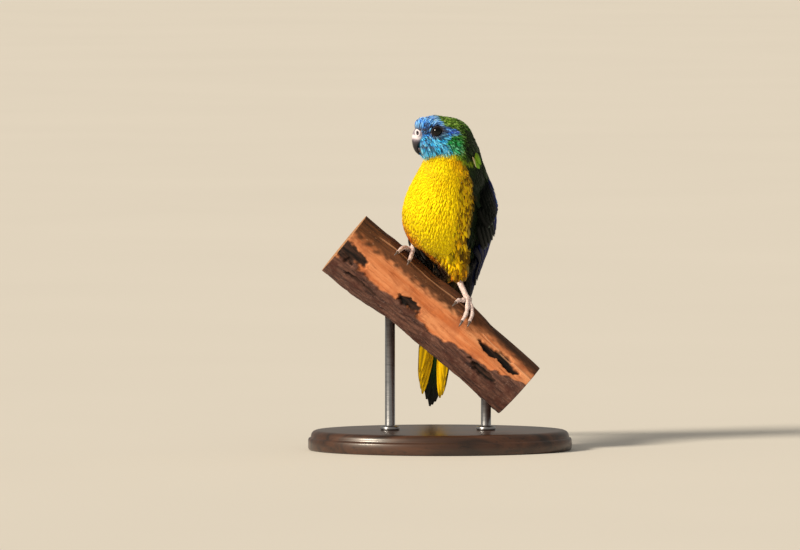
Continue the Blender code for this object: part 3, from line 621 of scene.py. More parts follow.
def make_skin():
    """The skin, with the ends eased so that its rings close evenly at the poles."""
    share = (1 - np.cos(np.linspace(0, math.pi, SKIN_RINGS + 2)[1:-1])) / 2
    along = REAR + (CROWN - REAR) * (0.5 * share + 0.5 * np.linspace(0.004, 0.996, SKIN_RINGS))
    rings = on_form(along[:, None], full_turn(SKIN_SIDES)[None, :])
    flat = rings.reshape(-1, 3)
    flat = flat - form_normals(flat) * np.repeat(depth_at(along), SKIN_SIDES)[:, None]
    ends = [spine_at(place)[0] + spine_at(place)[1] * way for place, way in ((REAR, 1.5), (CROWN, -0.8))]
    points, faces = loft(flat.reshape(rings.shape), *ends)
    skin = mesh_object("skin", points, faces, DOWN)
    put(skin.data, "plumage", "FLOAT_COLOR", plumage(points))
    finish_piece(skin, "plumage_body", "head", "neck", "torso")


# Feather shapes, in units of half their width across and their length along
CONTOUR_WIDTHS = [0.3, 0.72, 0.95, 1.0, 0.9, 0.66, 0.3]
STREAK_WIDTHS = [0.5, 1.0, 0.85, 0.3]


def feather_shape(name, widths, thick, seed, ragged):
    """A flat closed vane with ragged edges, whose attributes say where each point lies on it and how high."""
    drawn = np.random.default_rng(seed)
    count = len(widths)
    rings, rise = [], []
    for k, width in enumerate(widths):
        along = k / (count - 1)
        low, high = [width * (1 + drawn.uniform(-ragged, ragged) * (k > 0)) for _ in range(2)]
        slip = drawn.uniform(-0.5, 0.5, 2) * ragged * 0.25 * (k > 0)
        across = [-low, 0.0, high, high, 0.0, -low]
        back = [along + slip[0], along + 0.02 * (k == count - 1), along + slip[1]]
        rings.append([(x, y, 0.0) for x, y in zip(across, back + back[::-1])])
        top = [0.5, 0.75, 0.5, -0.5, -0.35, -0.5]
        rise += [thick * t * (1.0 if k < count - 1 else 0.6) for t in top]
    points = np.array(rings).reshape(-1, 3)
    faces = [(a, d, c, b) for a, b, c, d in ring_faces(count, 6)]
    last = (count - 1) * 6
    faces += [(0, 1, 4, 5), (1, 2, 3, 4), (last + 5, last + 4, last + 1, last),
              (last + 4, last + 3, last + 2, last + 1)]
    mesh = bpy.data.meshes.new(name)
    mesh.from_pydata(points.tolist(), [], faces)
    put(mesh, "rise", "FLOAT", rise)
    put(mesh, "vane", "FLOAT_VECTOR", points)
    return bpy.data.objects.new(name, mesh)


def shape_collection(name, widths, thick, ragged):
    """Four feathers of one kind, each with its own ragged edge."""
    group = bpy.data.collections.new(name)
    for k in range(4):
        group.objects.link(feather_shape(f"{name}_{k}", widths, thick, 20 + k, ragged))
    return group


def feathering_tree():
    """Puts a feather shape on each root point: turned to its lie, sized, made real and given its material."""
    tree = bpy.data.node_groups.new("feathering", "GeometryNodeTree")
    for name, kind in (("Roots", "NodeSocketGeometry"), ("Shapes", "NodeSocketCollection"),
                       ("Finish", "NodeSocketMaterial"), ("Loose turn", "NodeSocketFloat"),
                       ("Seed", "NodeSocketInt")):
        tree.interface.new_socket(name, in_out="INPUT", socket_type=kind)
    tree.interface.new_socket("Feathers", in_out="OUTPUT", socket_type="NodeSocketGeometry")
    given = add(tree, "NodeGroupInput").outputs

    def named(name, data_type):
        return add(tree, "GeometryNodeInputNamedAttribute", {"Name": name}, data_type=data_type).outputs[0]

    shapes = add(tree, "GeometryNodeCollectionInfo", {
        "Collection": given["Shapes"], "Separate Children": True, "Reset Children": True}).outputs[0]
    lie, up = named("lie", "FLOAT_VECTOR"), named("up", "FLOAT_VECTOR")
    turned = add(tree, "FunctionNodeAxesToRotation", {"Primary Axis": lie, "Secondary Axis": up},
                 primary_axis="Y", secondary_axis="Z").outputs[0]
    least = add(tree, "ShaderNodeMath", {0: given["Loose turn"], 1: -1.0}, operation="MULTIPLY").outputs[0]
    loose = add(tree, "FunctionNodeRandomValue", data_type="FLOAT")
    sockets = [s for s in loose.inputs if s.enabled]
    for socket, value in zip([s for s in sockets if s.name in ("Min", "Max", "Seed")],
                             (least, given["Loose turn"], given["Seed"])):
        tree.links.new(value, socket)
    drawn = [s for s in loose.outputs if s.enabled][0]
    spin = add(tree, "FunctionNodeAxisAngleToRotation", {"Axis": (0.0, 0.0, 1.0), "Angle": drawn}).outputs[0]
    turned = add(tree, "FunctionNodeRotateRotation", {0: turned, 1: spin}, rotation_space="LOCAL").outputs[0]
    placed = add(tree, "GeometryNodeInstanceOnPoints", {
        "Points": given["Roots"], "Instance": shapes, "Pick Instance": True,
        "Instance Index": named("shape", "INT"), "Rotation": turned, "Scale": named("size", "FLOAT_VECTOR"),
    }).outputs[0]
    real = add(tree, "GeometryNodeRealizeInstances", {"Geometry": placed}).outputs[0]
    finished = add(tree, "GeometryNodeSetMaterial", {"Geometry": real, "Material": given["Finish"]})
    add(tree, "NodeGroupOutput", {"Feathers": finished.outputs[0]})
    return tree


FEATHERING = feathering_tree()
# The size of each feather's patch on the unwrap of the skin's own shape
PATCH = 0.003
# A feather's left edge stands up and its right edge dips by this much at the most, or the other way round
TILT = 0.09


def grow(name, shapes, material, roots, lies, ups, half_widths, lengths, low, high, colours, seed,
         blobs=TRUNK, loose=0.12):
    """One coat piece: a feather on every root, laid over the form from its low height to its high one."""
    drawn = np.random.default_rng(seed)
    points = bpy.data.meshes.new(name + "_roots")
    points.from_pydata((roots * MM).tolist(), [], [])
    along, turn = along_of(roots)
    put(points, "shape", "INT", drawn.integers(0, len(shapes.objects), len(roots)))
    put(points, "plumage", "FLOAT_COLOR", colours)
    for key, value in (
            ("lie", lies), ("up", ups),
            ("size", np.stack([half_widths * MM, lengths * MM, np.ones(len(roots))], axis=1)),
            ("heights", np.stack([low, high, drawn.uniform(-1, 1, len(roots))], axis=1)),
            ("spot", np.stack([turn / (2 * math.pi) + 0.5, along, along * 0], axis=1))):
        put(points, key, "FLOAT_VECTOR", value)
    grown = bpy.data.objects.new(name + "_roots", points)
    bpy.context.scene.collection.objects.link(grown)
    modifier = grown.modifiers.new("feathering", "NODES")
    modifier.node_group = FEATHERING
    keys = {item.name: item.identifier for item in FEATHERING.interface.items_tree if item.in_out == "INPUT"}
    for key, value in (("Shapes", shapes), ("Finish", material), ("Loose turn", loose), ("Seed", seed)):
        modifier[keys[key]] = value
    bpy.context.view_layer.update()
    mesh = bpy.data.meshes.new_from_object(grown.evaluated_get(bpy.context.evaluated_depsgraph_get()))
    bpy.data.objects.remove(grown)
    mesh.name = name
    # Every point is laid at its height over the form, so that feathers follow the body without cutting in
    place = np.zeros(len(mesh.vertices) * 3, np.float32)
    mesh.vertices.foreach_get("co", place)
    vane, heights, rise = get(mesh, "vane", 3), get(mesh, "heights", 3), get(mesh, "rise", 1)
    share = np.clip(vane[:, 1], 0, 1)
    lift = heights[:, 0] + (heights[:, 1] - heights[:, 0]) * share ** 0.8
    lift += TILT * heights[:, 2] * vane[:, 0] + rise
    laid = settle(place.reshape(-1, 3) / MM, lift, blobs)
    mesh.vertices.foreach_set("co", (laid * MM).astype(np.float32).ravel())
    spot = get(mesh, "spot", 3)
    corners = np.zeros(len(mesh.loops), np.int32)
    mesh.loops.foreach_get("vertex_index", corners)
    spread = np.stack([vane[:, 0] * 0.5, vane[:, 1] - 0.5], axis=1) * PATCH
    unwrap = mesh.uv_layers.new(name="OFBake")
    unwrap.data.foreach_set("uv", (spot[:, :2] + spread)[corners].astype(np.float32).ravel())
    for spare in ("lie", "up", "size", "shape", "heights", "spot", "rise"):
        if spare in mesh.attributes:
            mesh.attributes.remove(mesh.attributes[spare])
    mesh.update()
    mesh.shade_smooth()
    made = bpy.data.objects.new(name, mesh)
    bpy.context.scene.collection.objects.link(made)
    return made


CONTOUR = shape_collection("contour_feather", CONTOUR_WIDTHS, 0.13, 0.16)
STREAK = shape_collection("streak_feather", STREAK_WIDTHS, 0.09, 0.12)

# Where feathers may root: the form's surface as a fine grid, sampled evenly by area
GRID_ALONG = np.linspace(REAR + 0.004, CROWN - 0.002, 200)
GRID = on_form(GRID_ALONG[:, None], full_turn(90)[None, :])


def surface_points(low, high, per_area, seed):
    """Random points on the form between two places along the spine, so many to a square millimetre."""
    rows = np.flatnonzero((GRID_ALONG >= low) & (GRID_ALONG <= high))
    near = GRID[rows[0]:rows[-1] + 1]
    a, b = near[:-1], near[1:]
    c, d = np.roll(b, -1, axis=1), np.roll(a, -1, axis=1)
    corners = np.concatenate([np.stack(trio, 2).reshape(-1, 3, 3) for trio in ([a, b, c], [a, c, d])])
    if high >= CROWN:
        pole = np.repeat(spine_at(CROWN)[0][None], near.shape[1], axis=0)
        corners = np.concatenate([corners, np.stack([near[-1], np.roll(near[-1], -1, axis=0), pole], 1)])
    area = np.linalg.norm(np.cross(corners[:, 1] - corners[:, 0], corners[:, 2] - corners[:, 0]), axis=1) / 2
    drawn = np.random.default_rng(seed)
    chosen = drawn.choice(len(area), int(area.sum() * per_area), p=area / area.sum())
    u, v = drawn.uniform(0, 1, (2, len(chosen)))
    u, v = np.where(u + v > 1, 1 - u, u), np.where(u + v > 1, 1 - v, v)
    one, two, three = corners[chosen].transpose(1, 0, 2)
    return one + (two - one) * u[:, None] + (three - one) * v[:, None]


def spaced(points, spacing):
    """Which of the points to keep so that no two lie nearer than the spacing at the first of them."""
    tree = KDTree(len(points))
    for k, point in enumerate(points):
        tree.insert(point, k)
    tree.balance()
    free = np.ones(len(points), bool)
    kept = []
    for k, point in enumerate(points):
        if free[k]:
            kept.append(k)
            for _, other, _ in tree.find_range(point, spacing[k]):
                free[other] = False
    return np.array(kept)


def eye_place(side):
    return on_head(EYE_AHEAD, side * EYE_ASIDE, EYE_ABOVE)


def from_eyes(points):
    """How far points lie from the middle of the nearer eye."""
    return np.min([np.linalg.norm(points - eye_place(side), axis=1) for side in SIDES.values()], axis=0)


def lie_at(points, normals):
    """Which way feathers point: back from the bill over the head, then tailward over the body."""
    along, _ = along_of(points)
    tailward = -spine_at(along)[1]
    above = (points - HEAD_CENTRE) @ UP
    low = smoothstep(1.0, -13.0, above)[:, None]
    way = -HEAD[0] * (1 - low) + unit(tailward + [0, 0, -0.25]) * (0.3 + 0.7 * low)
    # Round the bill they part: up over the forehead and down over the chin
    ahead = smoothstep(8.5, 12.0, (points - HEAD_CENTRE) @ HEAD[0])[:, None]
    rising = 2.2 * smoothstep(-0.5, 1.5, above) - 1.2 * smoothstep(-1.5, -4.0, above)
    way = way + UP * ahead * rising[:, None]
    # Round an eye they part too
    for side in SIDES.values():
        apart = points - eye_place(side)
        far = np.linalg.norm(apart, axis=1)
        out = unit(apart)
        towards = np.maximum(-np.einsum("ij,ij->i", unit(way), out), 0) * smoothstep(7.0, 3.0, far)
        way = unit(way) + out * towards[:, None] * 1.3
    way = way - normals * np.einsum("ij,ij->i", way, normals)[:, None]
    return unit(way)


def bare(points):
    """True where no feather roots: on the bill's base, the lids, and under the folded wings."""
    head = in_head(points)
    bill = (head[:, 0] > 9) & ((head[:, 1] / 3.6) ** 4 + ((head[:, 2] + 3.7) / 5.9) ** 4 < 1)
    lids = from_eyes(points) < LID_EDGE + 0.3
    along, turn = along_of(points)
    back = (WING_BEND - along) * SPINE_LENGTH
    under = np.zeros(len(points), bool)
    for side_name, side in SIDES.items():
        low, high = wing_limits(side_name, back)
        degrees = np.degrees(turn) * side % 360
        under |= (back > 5) & (back < 46) & (degrees > low + 7) & (degrees < high - 7)
    return bill | lids | under


# The folded wings: the same rows as the solid ones, with more feathers in each
WING_LOW = {"left": -18.0, "right": 22.0}
WING_TURN = {"left": (-22.0, -4.0), "right": (34.0, 30.0)}
WING_BACK = {"left": 4.0, "right": 15.0}
WING_OFF = 0.8
# The wing's body by rows: back from the bend, its lowest and highest turn in degrees, and how thick it is
WING_CORE = np.array([(-1.0, 92, 116, 0.5), (5.0, 84, 138, 1.7), (13.0, 82, 144, 2.6), (22.0, 78, 142, 2.2),
                      (32.0, 72, 136, 1.6), (42.0, 68, 126, 1.0), (54.0, 78, 116, 0.3)])


def wing_limits(side_name, back):
    """A wing's lowest and highest turns, in degrees from the belly, at places back from its bend."""
    place = np.asarray(back, float) - WING_BACK[side_name]
    low, high = [np.interp(place, WING_CORE[:, 0], WING_CORE[:, k]) for k in (1, 2)]
    return np.minimum(low + WING_LOW[side_name], high - 12), high


def core_height(side_name, back, degrees):
    """How high the wing's body stands over the form."""
    low, high = wing_limits(side_name, back)
    across = np.clip((degrees - (low + high) / 2) / ((high - low) / 2), -1, 1)
    thick = np.interp(np.asarray(back, float) - WING_BACK[side_name], WING_CORE[:, 0], WING_CORE[:, 3])
    return WING_OFF + thick * (1 - 0.65 * np.abs(across) ** 3)


def body_size(points):
    """Half width and length of the small feathers at points of the body."""
    along, _ = along_of(points)
    steps = [REAR, REAR + 0.1, HEAD_CUT - 0.35, HEAD_CUT - 0.1, HEAD_CUT, HEAD_CUT + 0.04, CROWN]
    half = np.interp(along, steps, [2.4, 2.2, 2.1, 1.5, 0.9, 0.46, 0.4])
    length = np.interp(along, steps, [11.0, 9.5, 8.5, 6.0, 4.0, 2.4, 2.1])
    # Shorter along the line where the face's blue meets the throat's yellow
    edge = np.exp(-(above_chin(points) / 2.0) ** 2)
    return half * (1 - 0.15 * edge), length * (1 - 0.35 * edge)


def puffed(points):
    """How much further out the feathers stand over the root of the bill and on the chin."""
    head = in_head(points)
    ahead, above = head[:, 0], head[:, 2]
    brow = smoothstep(8.5, 11.5, ahead) * smoothstep(1.0, 2.6, above) * smoothstep(7.6, 4.6, above)
    chin = smoothstep(5.0, 8.0, ahead) * smoothstep(-4.5, -6.0, above) * smoothstep(-10.5, -7.5, above)
    return 1.25 * brow + 1.1 * chin


# The most triangles that one piece of the coat gets
PIECE_FACES = 190000


def coat_layer(name, slot, shapes, material, low, high, spacing, width, long, heights, seed, varied,
               loose=0.12, flecked=0.0, where=None, streaked=0.0):
    """One layer of small feathers between two places along the spine, in as many pieces as it needs.

    heights are those of roots and tips over the form, and varied is how much colours and tips differ. flecked
    is the share of feathers that get a painted highlight, and streaked the share that is added on the flank.
    """
    drawn = np.random.default_rng(seed)
    near = surface_points(low, high, 5.0 / spacing**2, seed)
    if where:
        near = near[where(near)]
    half, length = body_size(near)
    near = near[spaced(near, spacing * half / half.mean())]
    near = near[~bare(near)]
    normals = form_normals(near)
    half, length = body_size(near)
    half = half * width * drawn.uniform(0.85, 1.15, len(near))
    length = length * long * drawn.uniform(0.82, 1.15, len(near))
    lies = lie_at(near, normals)
    # Feathers in front of an eye stop short of its lids
    for side in SIDES.values():
        apart = near - eye_place(side)
        far = np.linalg.norm(apart, axis=1)
        towards = -np.einsum("ij,ij->i", lies, apart) / far
        room = (far - LID_EDGE) / np.maximum(towards, 0.05)
        length = np.where(far < 9, np.minimum(length, np.maximum(room, 0.7)), length)
    colours = plumage(near) * drawn.uniform(1 - varied, 1 + varied, len(near))[:, None]
    # Painted highlights give some feathers a paler tint of their own colour, as if they caught the light, and
    # painted shade makes others dark
    fleck = drawn.uniform(0, 1, len(near))
    flecked = flecked + streaked * flank_shade(near)
    pale = (fleck < flecked)[:, None] * 0.7 * smoothstep(0.03, 0.1, colours.max(axis=1))[:, None]
    colours = colours * (1 - pale) + np.sqrt(np.clip(colours, 0, 1)) * pale
    colours[fleck > 1 - flecked * 0.8] *= 0.35
    raised = puffed(near)
    tips = heights[1] + raised + drawn.uniform(-1, 1, len(near)) * varied * 0.9
    order = np.argsort(along_of(near)[0])
    faces = sum(len(p.vertices) - 2 for p in shapes.objects[0].data.polygons)
    pieces = max(1, math.ceil(len(near) * faces / PIECE_FACES))
    for number, part in enumerate(np.array_split(order, pieces)):
        made = grow(f"{name}_{number + 1}", shapes, material, near[part], lies[part], normals[part],
                    half[part], length[part], heights[0] + raised[part], tips[part], colours[part],
                    seed + number, loose=loose)
        finish_piece(made, slot)


make_skin()
FACE_FROM = HEAD_CUT - 0.025


def faced(points):
    """Where the head's feathers grow, and not the yellow ones of the throat."""
    return above_chin(points) > -0.2


def blue_faced(points):
    """Where they are the blue and glossed ones of the face."""
    head = in_head(points)
    return faced(points) & (head[:, 0] > np.interp(head[:, 2], BLUE_ABOVE, BLUE_BACK))


coat_layer("coat_face", "plumage_head", STREAK, FACE, FACE_FROM, 1.0, 0.62, 1.0, 1.2, (-0.7, -0.05), 31,
           0.35, 0.25, flecked=0.28, where=blue_faced)
coat_layer("coat_nape", "plumage_head", STREAK, NAPE, FACE_FROM, 1.0, 0.68, 1.0, 1.2, (-0.9, -0.3), 32,
           0.35, 0.25, flecked=0.3, where=lambda points: faced(points) & ~blue_faced(points))
coat_layer("coat_throat", "plumage_body", STREAK, COAT, FACE_FROM, 1.0, 0.75, 0.9, 1.2, (-0.6, 0.1), 33,
           0.1, 0.15, where=lambda points: ~faced(points))
coat_layer("coat_body", "plumage_body", CONTOUR, COAT, REAR, FACE_FROM, 2.0, 1.0, 1.0, (-1.4, -0.05), 41,
           0.09)
coat_layer("coat_fine", "plumage_body", STREAK, COAT, REAR, FACE_FROM + 0.01, 1.05, 0.34, 0.7,
           (-0.9, 0.18), 51, 0.1, streaked=0.5)


def ruffled(points):
    """The flank, the vent and the back, where single feathers stand out from the coat."""
    return (points[:, 0] > 9.0) | (points[:, 2] < 100.0) | (points[:, 1] > 2.0)


coat_layer("coat_loose", "plumage_body", STREAK, COAT, REAR + 0.12, HEAD_CUT - 0.2, 2.0, 0.5, 0.8,
           (-0.7, 0.8), 56, 0.25, 0.4, flecked=0.1, where=ruffled, streaked=0.4)


# Flight feathers, laid in rows from the lower edge of the wing to the back: how many, the roots and tips of
# the first and last (mm back from the bend, degrees up from the belly), half width, the first one's heights
# at root and tip, how far its outer edge rises, and how much higher the last one lies
WING_ROWS = {
    "primary": (7, ((37, 64), (40, 84)), ((109, 152), (88, 132)), 3.4, (1.3, 1.2), 0.15, 2.2),
    "secondary": (9, ((27, 70), (27, 130)), ((67, 100), (61, 160)), 3.1, (1.9, 2.9), 0.3, 1.2),
    "greater_covert": (12, ((15, 80), (16, 136)), ((36, 72), (38, 150)), 2.5, (2.2, 3.1), 0.35, 1.2),
    "median_covert": (11, ((8, 84), (9, 132)), ((22, 80), (23, 146)), 2.3, (2.3, 3.5), 0.35, 0.9),
}
# Places along a vane, and its half widths there as shares of its widest
POINTED = [0, 0.12, 0.4, 0.75, 0.9, 0.97, 1], [0.5, 0.85, 1.0, 0.86, 0.55, 0.28, 0.1]
ROUNDED = [0, 0.15, 0.5, 0.8, 0.93, 0.985, 1], [0.5, 0.9, 1.0, 0.9, 0.64, 0.34, 0.12]
ACROSS = np.array([-1.0, -0.55, 0.0, 0.55, 1.0])


def vane_faces(stations):
    """Faces of one closed vane whose rings have five points above and five below."""
    ring = 2 * len(ACROSS)
    faces = ring_faces(stations, ring)
    for first in (0, (stations - 1) * ring):
        faces += [(first + k, first + k + 1, first + ring - 2 - k, first + ring - 1 - k) for k in range(4)]
    return faces


def vanes_object(name, lines, normals, widths, heights, tilts, thick, colours, on_wings=False):
    """One mesh of many vanes, with lines and normals per vane and station, flat or laid over the wings."""
    count, stations = lines.shape[:2]
    share = np.linspace(0, 1, stations)
    across = unit(np.cross(np.gradient(lines, axis=1), normals))
    wide = widths[:, :, None, None] * ACROSS[:, None]
    top = lines[:, :, None, :] + across[:, :, None, :] * wide
    # A vane curves down to its edges, and its shaft stands a little above it
    lift = heights[:, :, None] + tilts[:, None, None] * ACROSS - 0.12 * ACROSS**2
    lift = lift + 0.10 * (np.abs(ACROSS) < 0.1)
    up = normals[:, :, None, :]
    if on_wings:
        top = settle(top.reshape(-1, 3), lift.reshape(-1), FORM).reshape(top.shape)
    else:
        top = top + up * lift[..., None]
    low = top - up * (thick * np.interp(share, [0, 0.7, 1], [1, 1, 0.6]))[:, None, None]
    rings = np.concatenate([top, low[:, :, ::-1]], axis=2)
    places = np.zeros(rings.shape)
    places[..., 0] = np.concatenate([ACROSS, ACROSS[::-1]])
    places[..., 1] = share[:, None]
    places[..., 2] = np.arange(count)[:, None, None]
    faces = vane_faces(stations)
    made = join(name, [(vane.reshape(-1, 3), faces) for vane in rings], FLIGHT)
    places = places.reshape(-1, 3)
    put(made.data, "vane", "FLOAT_VECTOR", places)
    put(made.data, "plumage", "FLOAT_COLOR", colours(places, rings.reshape(-1, 3)))
    return made


# Colours across a wing from its lower edge to the back: by share of the row for the long rows, and for the
# small coverts by how far up the wing they lie
# Painted shade: the near-black green and the darkest navy low on the wing are darker than its own blue and
# green
ACROSS_COLOURS = {
    "primary": [(0.0, "#05070A"), (0.3, "#060A14"), (0.6, "#0A1440"), (1.0, "#0C2030")],
    "secondary": [(0.0, "#04071A"), (0.14, "#060E38"), (0.45, "#0A1858"), (0.66, "#122A5E"),
                  (0.78, "#23501C"), (1.0, "#35701C")],
    "greater_covert": [(0.0, "#040805"), (0.36, "#06100C"), (0.48, "#0A1654"), (0.68, "#1436A0"),
                       (0.8, "#1A5A60"), (0.88, "#3C7A1C")],
    "median_covert": [(0.0, "#040805"), (0.38, "#06100C"), (0.5, "#08123E"), (0.62, "#0E2F86"),
                      (0.7, "#1E8FD0"), (0.75, "#1E8FD0"), (0.79, "#7C2414"), (0.86, "#7C2414"),
                      (0.9, "#3C7A1C")],
    "lesser_covert": [(0.0, "#040805"), (0.42, "#050D0A"), (0.54, "#070F38"), (0.66, "#0C2A7C"),
                      (0.76, "#1878BE"), (0.86, "#1E8FD0"), (0.92, "#3C7A1C")],
}


def across_wing(row, share):
    places, stops = zip(*ACROSS_COLOURS[row])
    colours = np.array([linear(colour) for colour in stops])
    return np.stack([np.interp(share, places, colours[:, k]) for k in range(3)], axis=1)


def wing_colour(row, least):
    """A row's colours: green-black below, which is painted shade, then navy and blue, and green next to the
    back.
    """
    def colours(places, _):
        number, out = places[:, 2], np.abs(places[:, 0])
        share = least + (1 - least) * number / (WING_ROWS[row][0] - 1)
        base = across_wing(row, share)
        if row in ("primary", "secondary"):
            edge = smoothstep(0.3, 0.95, out)
            base = base * (0.75 + 0.7 * edge)[:, None]
        else:
            base = mixed(base, "#7C9488", smoothstep(0.93, 0.97, places[:, 1]) * 0.6)
        return base * (1 + 0.14 * np.sin(number * 12.9898))[:, None]
    return colours


def make_wing(side_name):
    """A folded wing: its body under small coverts, and rows of long feathers that overlap tailward."""
    side = SIDES[side_name]
    turned, shift = WING_TURN[side_name], WING_BACK[side_name]
    drawn = np.random.default_rng(61 + side)
    rows, columns = 26, 22
    rings = []
    for back in np.linspace(WING_CORE[0, 0], WING_CORE[-1, 0], rows) + shift:
        degrees = np.linspace(*wing_limits(side_name, back), columns)
        heights = core_height(side_name, back, degrees) - 0.35
        along = np.full(columns, WING_BEND - back / SPINE_LENGTH)
        line = on_form(along, np.radians(degrees) * side, FORM)
        outer = settle(line, np.maximum(heights, WING_OFF + 0.1), FORM)
        inner = settle(line, np.full(columns, WING_OFF - 0.5), FORM)
        rings.append(np.vstack([outer, inner[::-1]]))
    points, faces = loft(rings)
    core = mesh_object("wing_body_" + side_name, points, faces, DOWN)
    put(core.data, "plumage", "FLOAT_COLOR", plain("#0A1410", len(points)))
    finish_piece(core, "plumage_wing", "wing_" + side_name)
    for row, (count, roots, tips, half_width, lifts, tilt, rise) in WING_ROWS.items():
        stations = 18 if row in ("primary", "secondary") else 12
        share = np.linspace(0, 1, stations)
        along, turns, heights = [], [], []
        for place in np.linspace(0, 1, count):
            root, tip = [np.array(first) * (1 - place) + np.array(last) * place
                         for first, last in (roots, tips)]
            root += np.array([shift, turned[0] * (1 - place)]) + drawn.uniform(-1, 1, 2) * [0.5, 0.5]
            tip += np.array([shift * 0.3, turned[1] * (1 - place)]) + drawn.uniform(-1, 1, 2) * [0.9, 0.7]
            back, degrees = root[:, None] + (tip - root)[:, None] * share
            along.append(WING_BEND - back / SPINE_LENGTH)
            turns.append(np.radians(degrees) * side)
            heights.append(lifts[0] + 0.3 * rise * place + (lifts[1] + 0.7 * rise * place - lifts[0]) * share)
        heights = np.array(heights)
        line = settle(on_form(np.array(along), np.array(turns), FORM).reshape(-1, 3), heights.ravel(), FORM)
        normals = form_normals(line, FORM).reshape(count, stations, 3)
        widths = half_width * np.interp(share, *(POINTED if row == "primary" else ROUNDED))
        widths = widths[None] * drawn.uniform(0.93, 1.07, (count, 1))
        colours = wing_colour(row, 0.0 if side > 0 else 0.4)
        made = vanes_object(
            f"wing_{row}_{side_name}", line.reshape(count, stations, 3), normals, widths, heights,
            np.full(count, tilt * side), 0.35, colours, on_wings=True)
        finish_piece(made, "plumage_wing")
    # Lesser coverts: short rounded feathers over the front of the wing
    spots = []
    step = 6.0
    for number, back in enumerate(np.arange(-0.5, 13.5, 1.7)):
        low, high = wing_limits(side_name, back + shift)
        for degrees in np.arange(low + 1 + (number % 2) * step / 2, high - 1, step):
            spots.append((back + shift + drawn.uniform(-0.5, 0.5), degrees + drawn.uniform(-1.2, 1.2)))
    back, degrees = np.array(spots).T
    low = core_height(side_name, back, degrees)
    length = drawn.uniform(5.2, 6.8, len(back))
    high = np.maximum(low, core_height(side_name, back + length, degrees)) + 0.35
    colours = across_wing("lesser_covert", np.clip((degrees - 64) / 80, 0, 1))
    colours = colours * drawn.uniform(0.8, 1.2, len(back))[:, None]
    lay_feathers("wing_lesser_covert_" + side_name, "plumage_wing", COVERT, back, degrees * side,
                 drawn.uniform(1.5, 1.9, len(back)), length, low - 0.2, high, colours, 71 + side)


def lay_feathers(name, slot, material, back, degrees, half, length, low, high, colours, seed, loose=0.12):
    """Feathers rooted back from the bend of the wing at turns round the body, laid over the wings' form."""
    along, turns = WING_BEND - back / SPINE_LENGTH, np.radians(degrees)
    roots = settle(on_form(along, turns, FORM), low, FORM)
    ups = form_normals(roots, FORM)
    tailward = -spine_at(along)[1]
    lies = unit(tailward - ups * np.einsum("ij,ij->i", tailward, ups)[:, None])
    if colours is None:
        colours = plumage(roots) * np.random.default_rng(seed).uniform(0.78, 1.2, len(roots))[:, None]
    made = grow(name, CONTOUR, material, roots, lies, ups, half, length, low, high, colours, seed, FORM,
                loose)
    finish_piece(made, slot)


def rows_of(backs, lowest, highest, step, drawn):
    """Places of feathers in rows back from the bend, from turn to turn, every other row shifted."""
    spots = []
    limits = np.broadcast_to(lowest, len(backs)), np.broadcast_to(highest, len(backs))
    for number, (back, low, high) in enumerate(zip(backs, *limits)):
        for degrees in np.arange(low + (number % 2) * step / 2, high, step):
            spots.append((back + drawn.uniform(-0.6, 0.6), degrees + drawn.uniform(-0.2, 0.2) * step))
    return np.array(spots).T


def make_shoulder(side_name):
    """Feathers that join a wing to the body, over its upper edge and its bend."""
    side = SIDES[side_name]
    drawn = np.random.default_rng(91 + side)
    shift = WING_BACK[side_name]
    # How high the wing stands there, by distance back from its bend
    tops = [-8, 0, 6, 12, 22, 34, 44], [0.2, 0.8, 2.4, 3.7, 4.2, 4.0, 3.4]
    backs = np.arange(-9.0, 34.0, 2.2) + shift
    upper_edge = wing_limits(side_name, backs + 4)[1]
    back, degrees = rows_of(backs, np.maximum(upper_edge - 10, 96 if side > 0 else 120), 176, 7.0, drawn)
    length = drawn.uniform(8.5, 11.0, len(back)) * np.interp(back - shift, [-9, 6, 34], [0.7, 1.0, 1.25])
    edge = wing_limits(side_name, back)[1]
    risen = smoothstep(edge + 30, edge + 2, degrees)
    low = -0.5 + risen * np.interp(back - shift, *tops)
    high = 0.3 + risen * np.interp(back + length - shift, *tops)
    high = np.maximum(high, low + 0.3)
    lay_feathers("scapulars_" + side_name, "plumage_body", COAT, back, degrees * side,
                 drawn.uniform(1.9, 2.3, len(back)), length, low, high, None, 95 + side)
    # Over the bend of the wing
    backs = np.arange(-9.0, 1.5, 1.5) + shift
    back, degrees = rows_of(backs, 60 if side > 0 else 120, 132, 5.5, drawn)
    length = drawn.uniform(5.0, 6.5, len(back))
    high = core_height(side_name, back + length, degrees) * smoothstep(-2, 6, back + length - shift) + 0.2
    low = core_height(side_name, back, degrees) * smoothstep(-2, 5, back - shift) - 0.3
    lay_feathers("bend_feathers_" + side_name, "plumage_body", COAT, back, degrees * side,
                 drawn.uniform(1.2, 1.6, len(back)), length, low, high, None, 97 + side)


# Tail feathers of one side from the middle pair outwards: offset at the tip, half width, height and share
# of the length
TAIL_VANES = [(0.6, 4.0, 2.1, 1.025), (2.2, 3.8, 0.55, 0.975), (4.8, 3.4, -0.3, 0.925),
              (5.6, 3.3, -1.15, 0.885), (6.2, 3.2, -2.0, 0.82), (6.7, 3.0, -2.85, 0.74)]


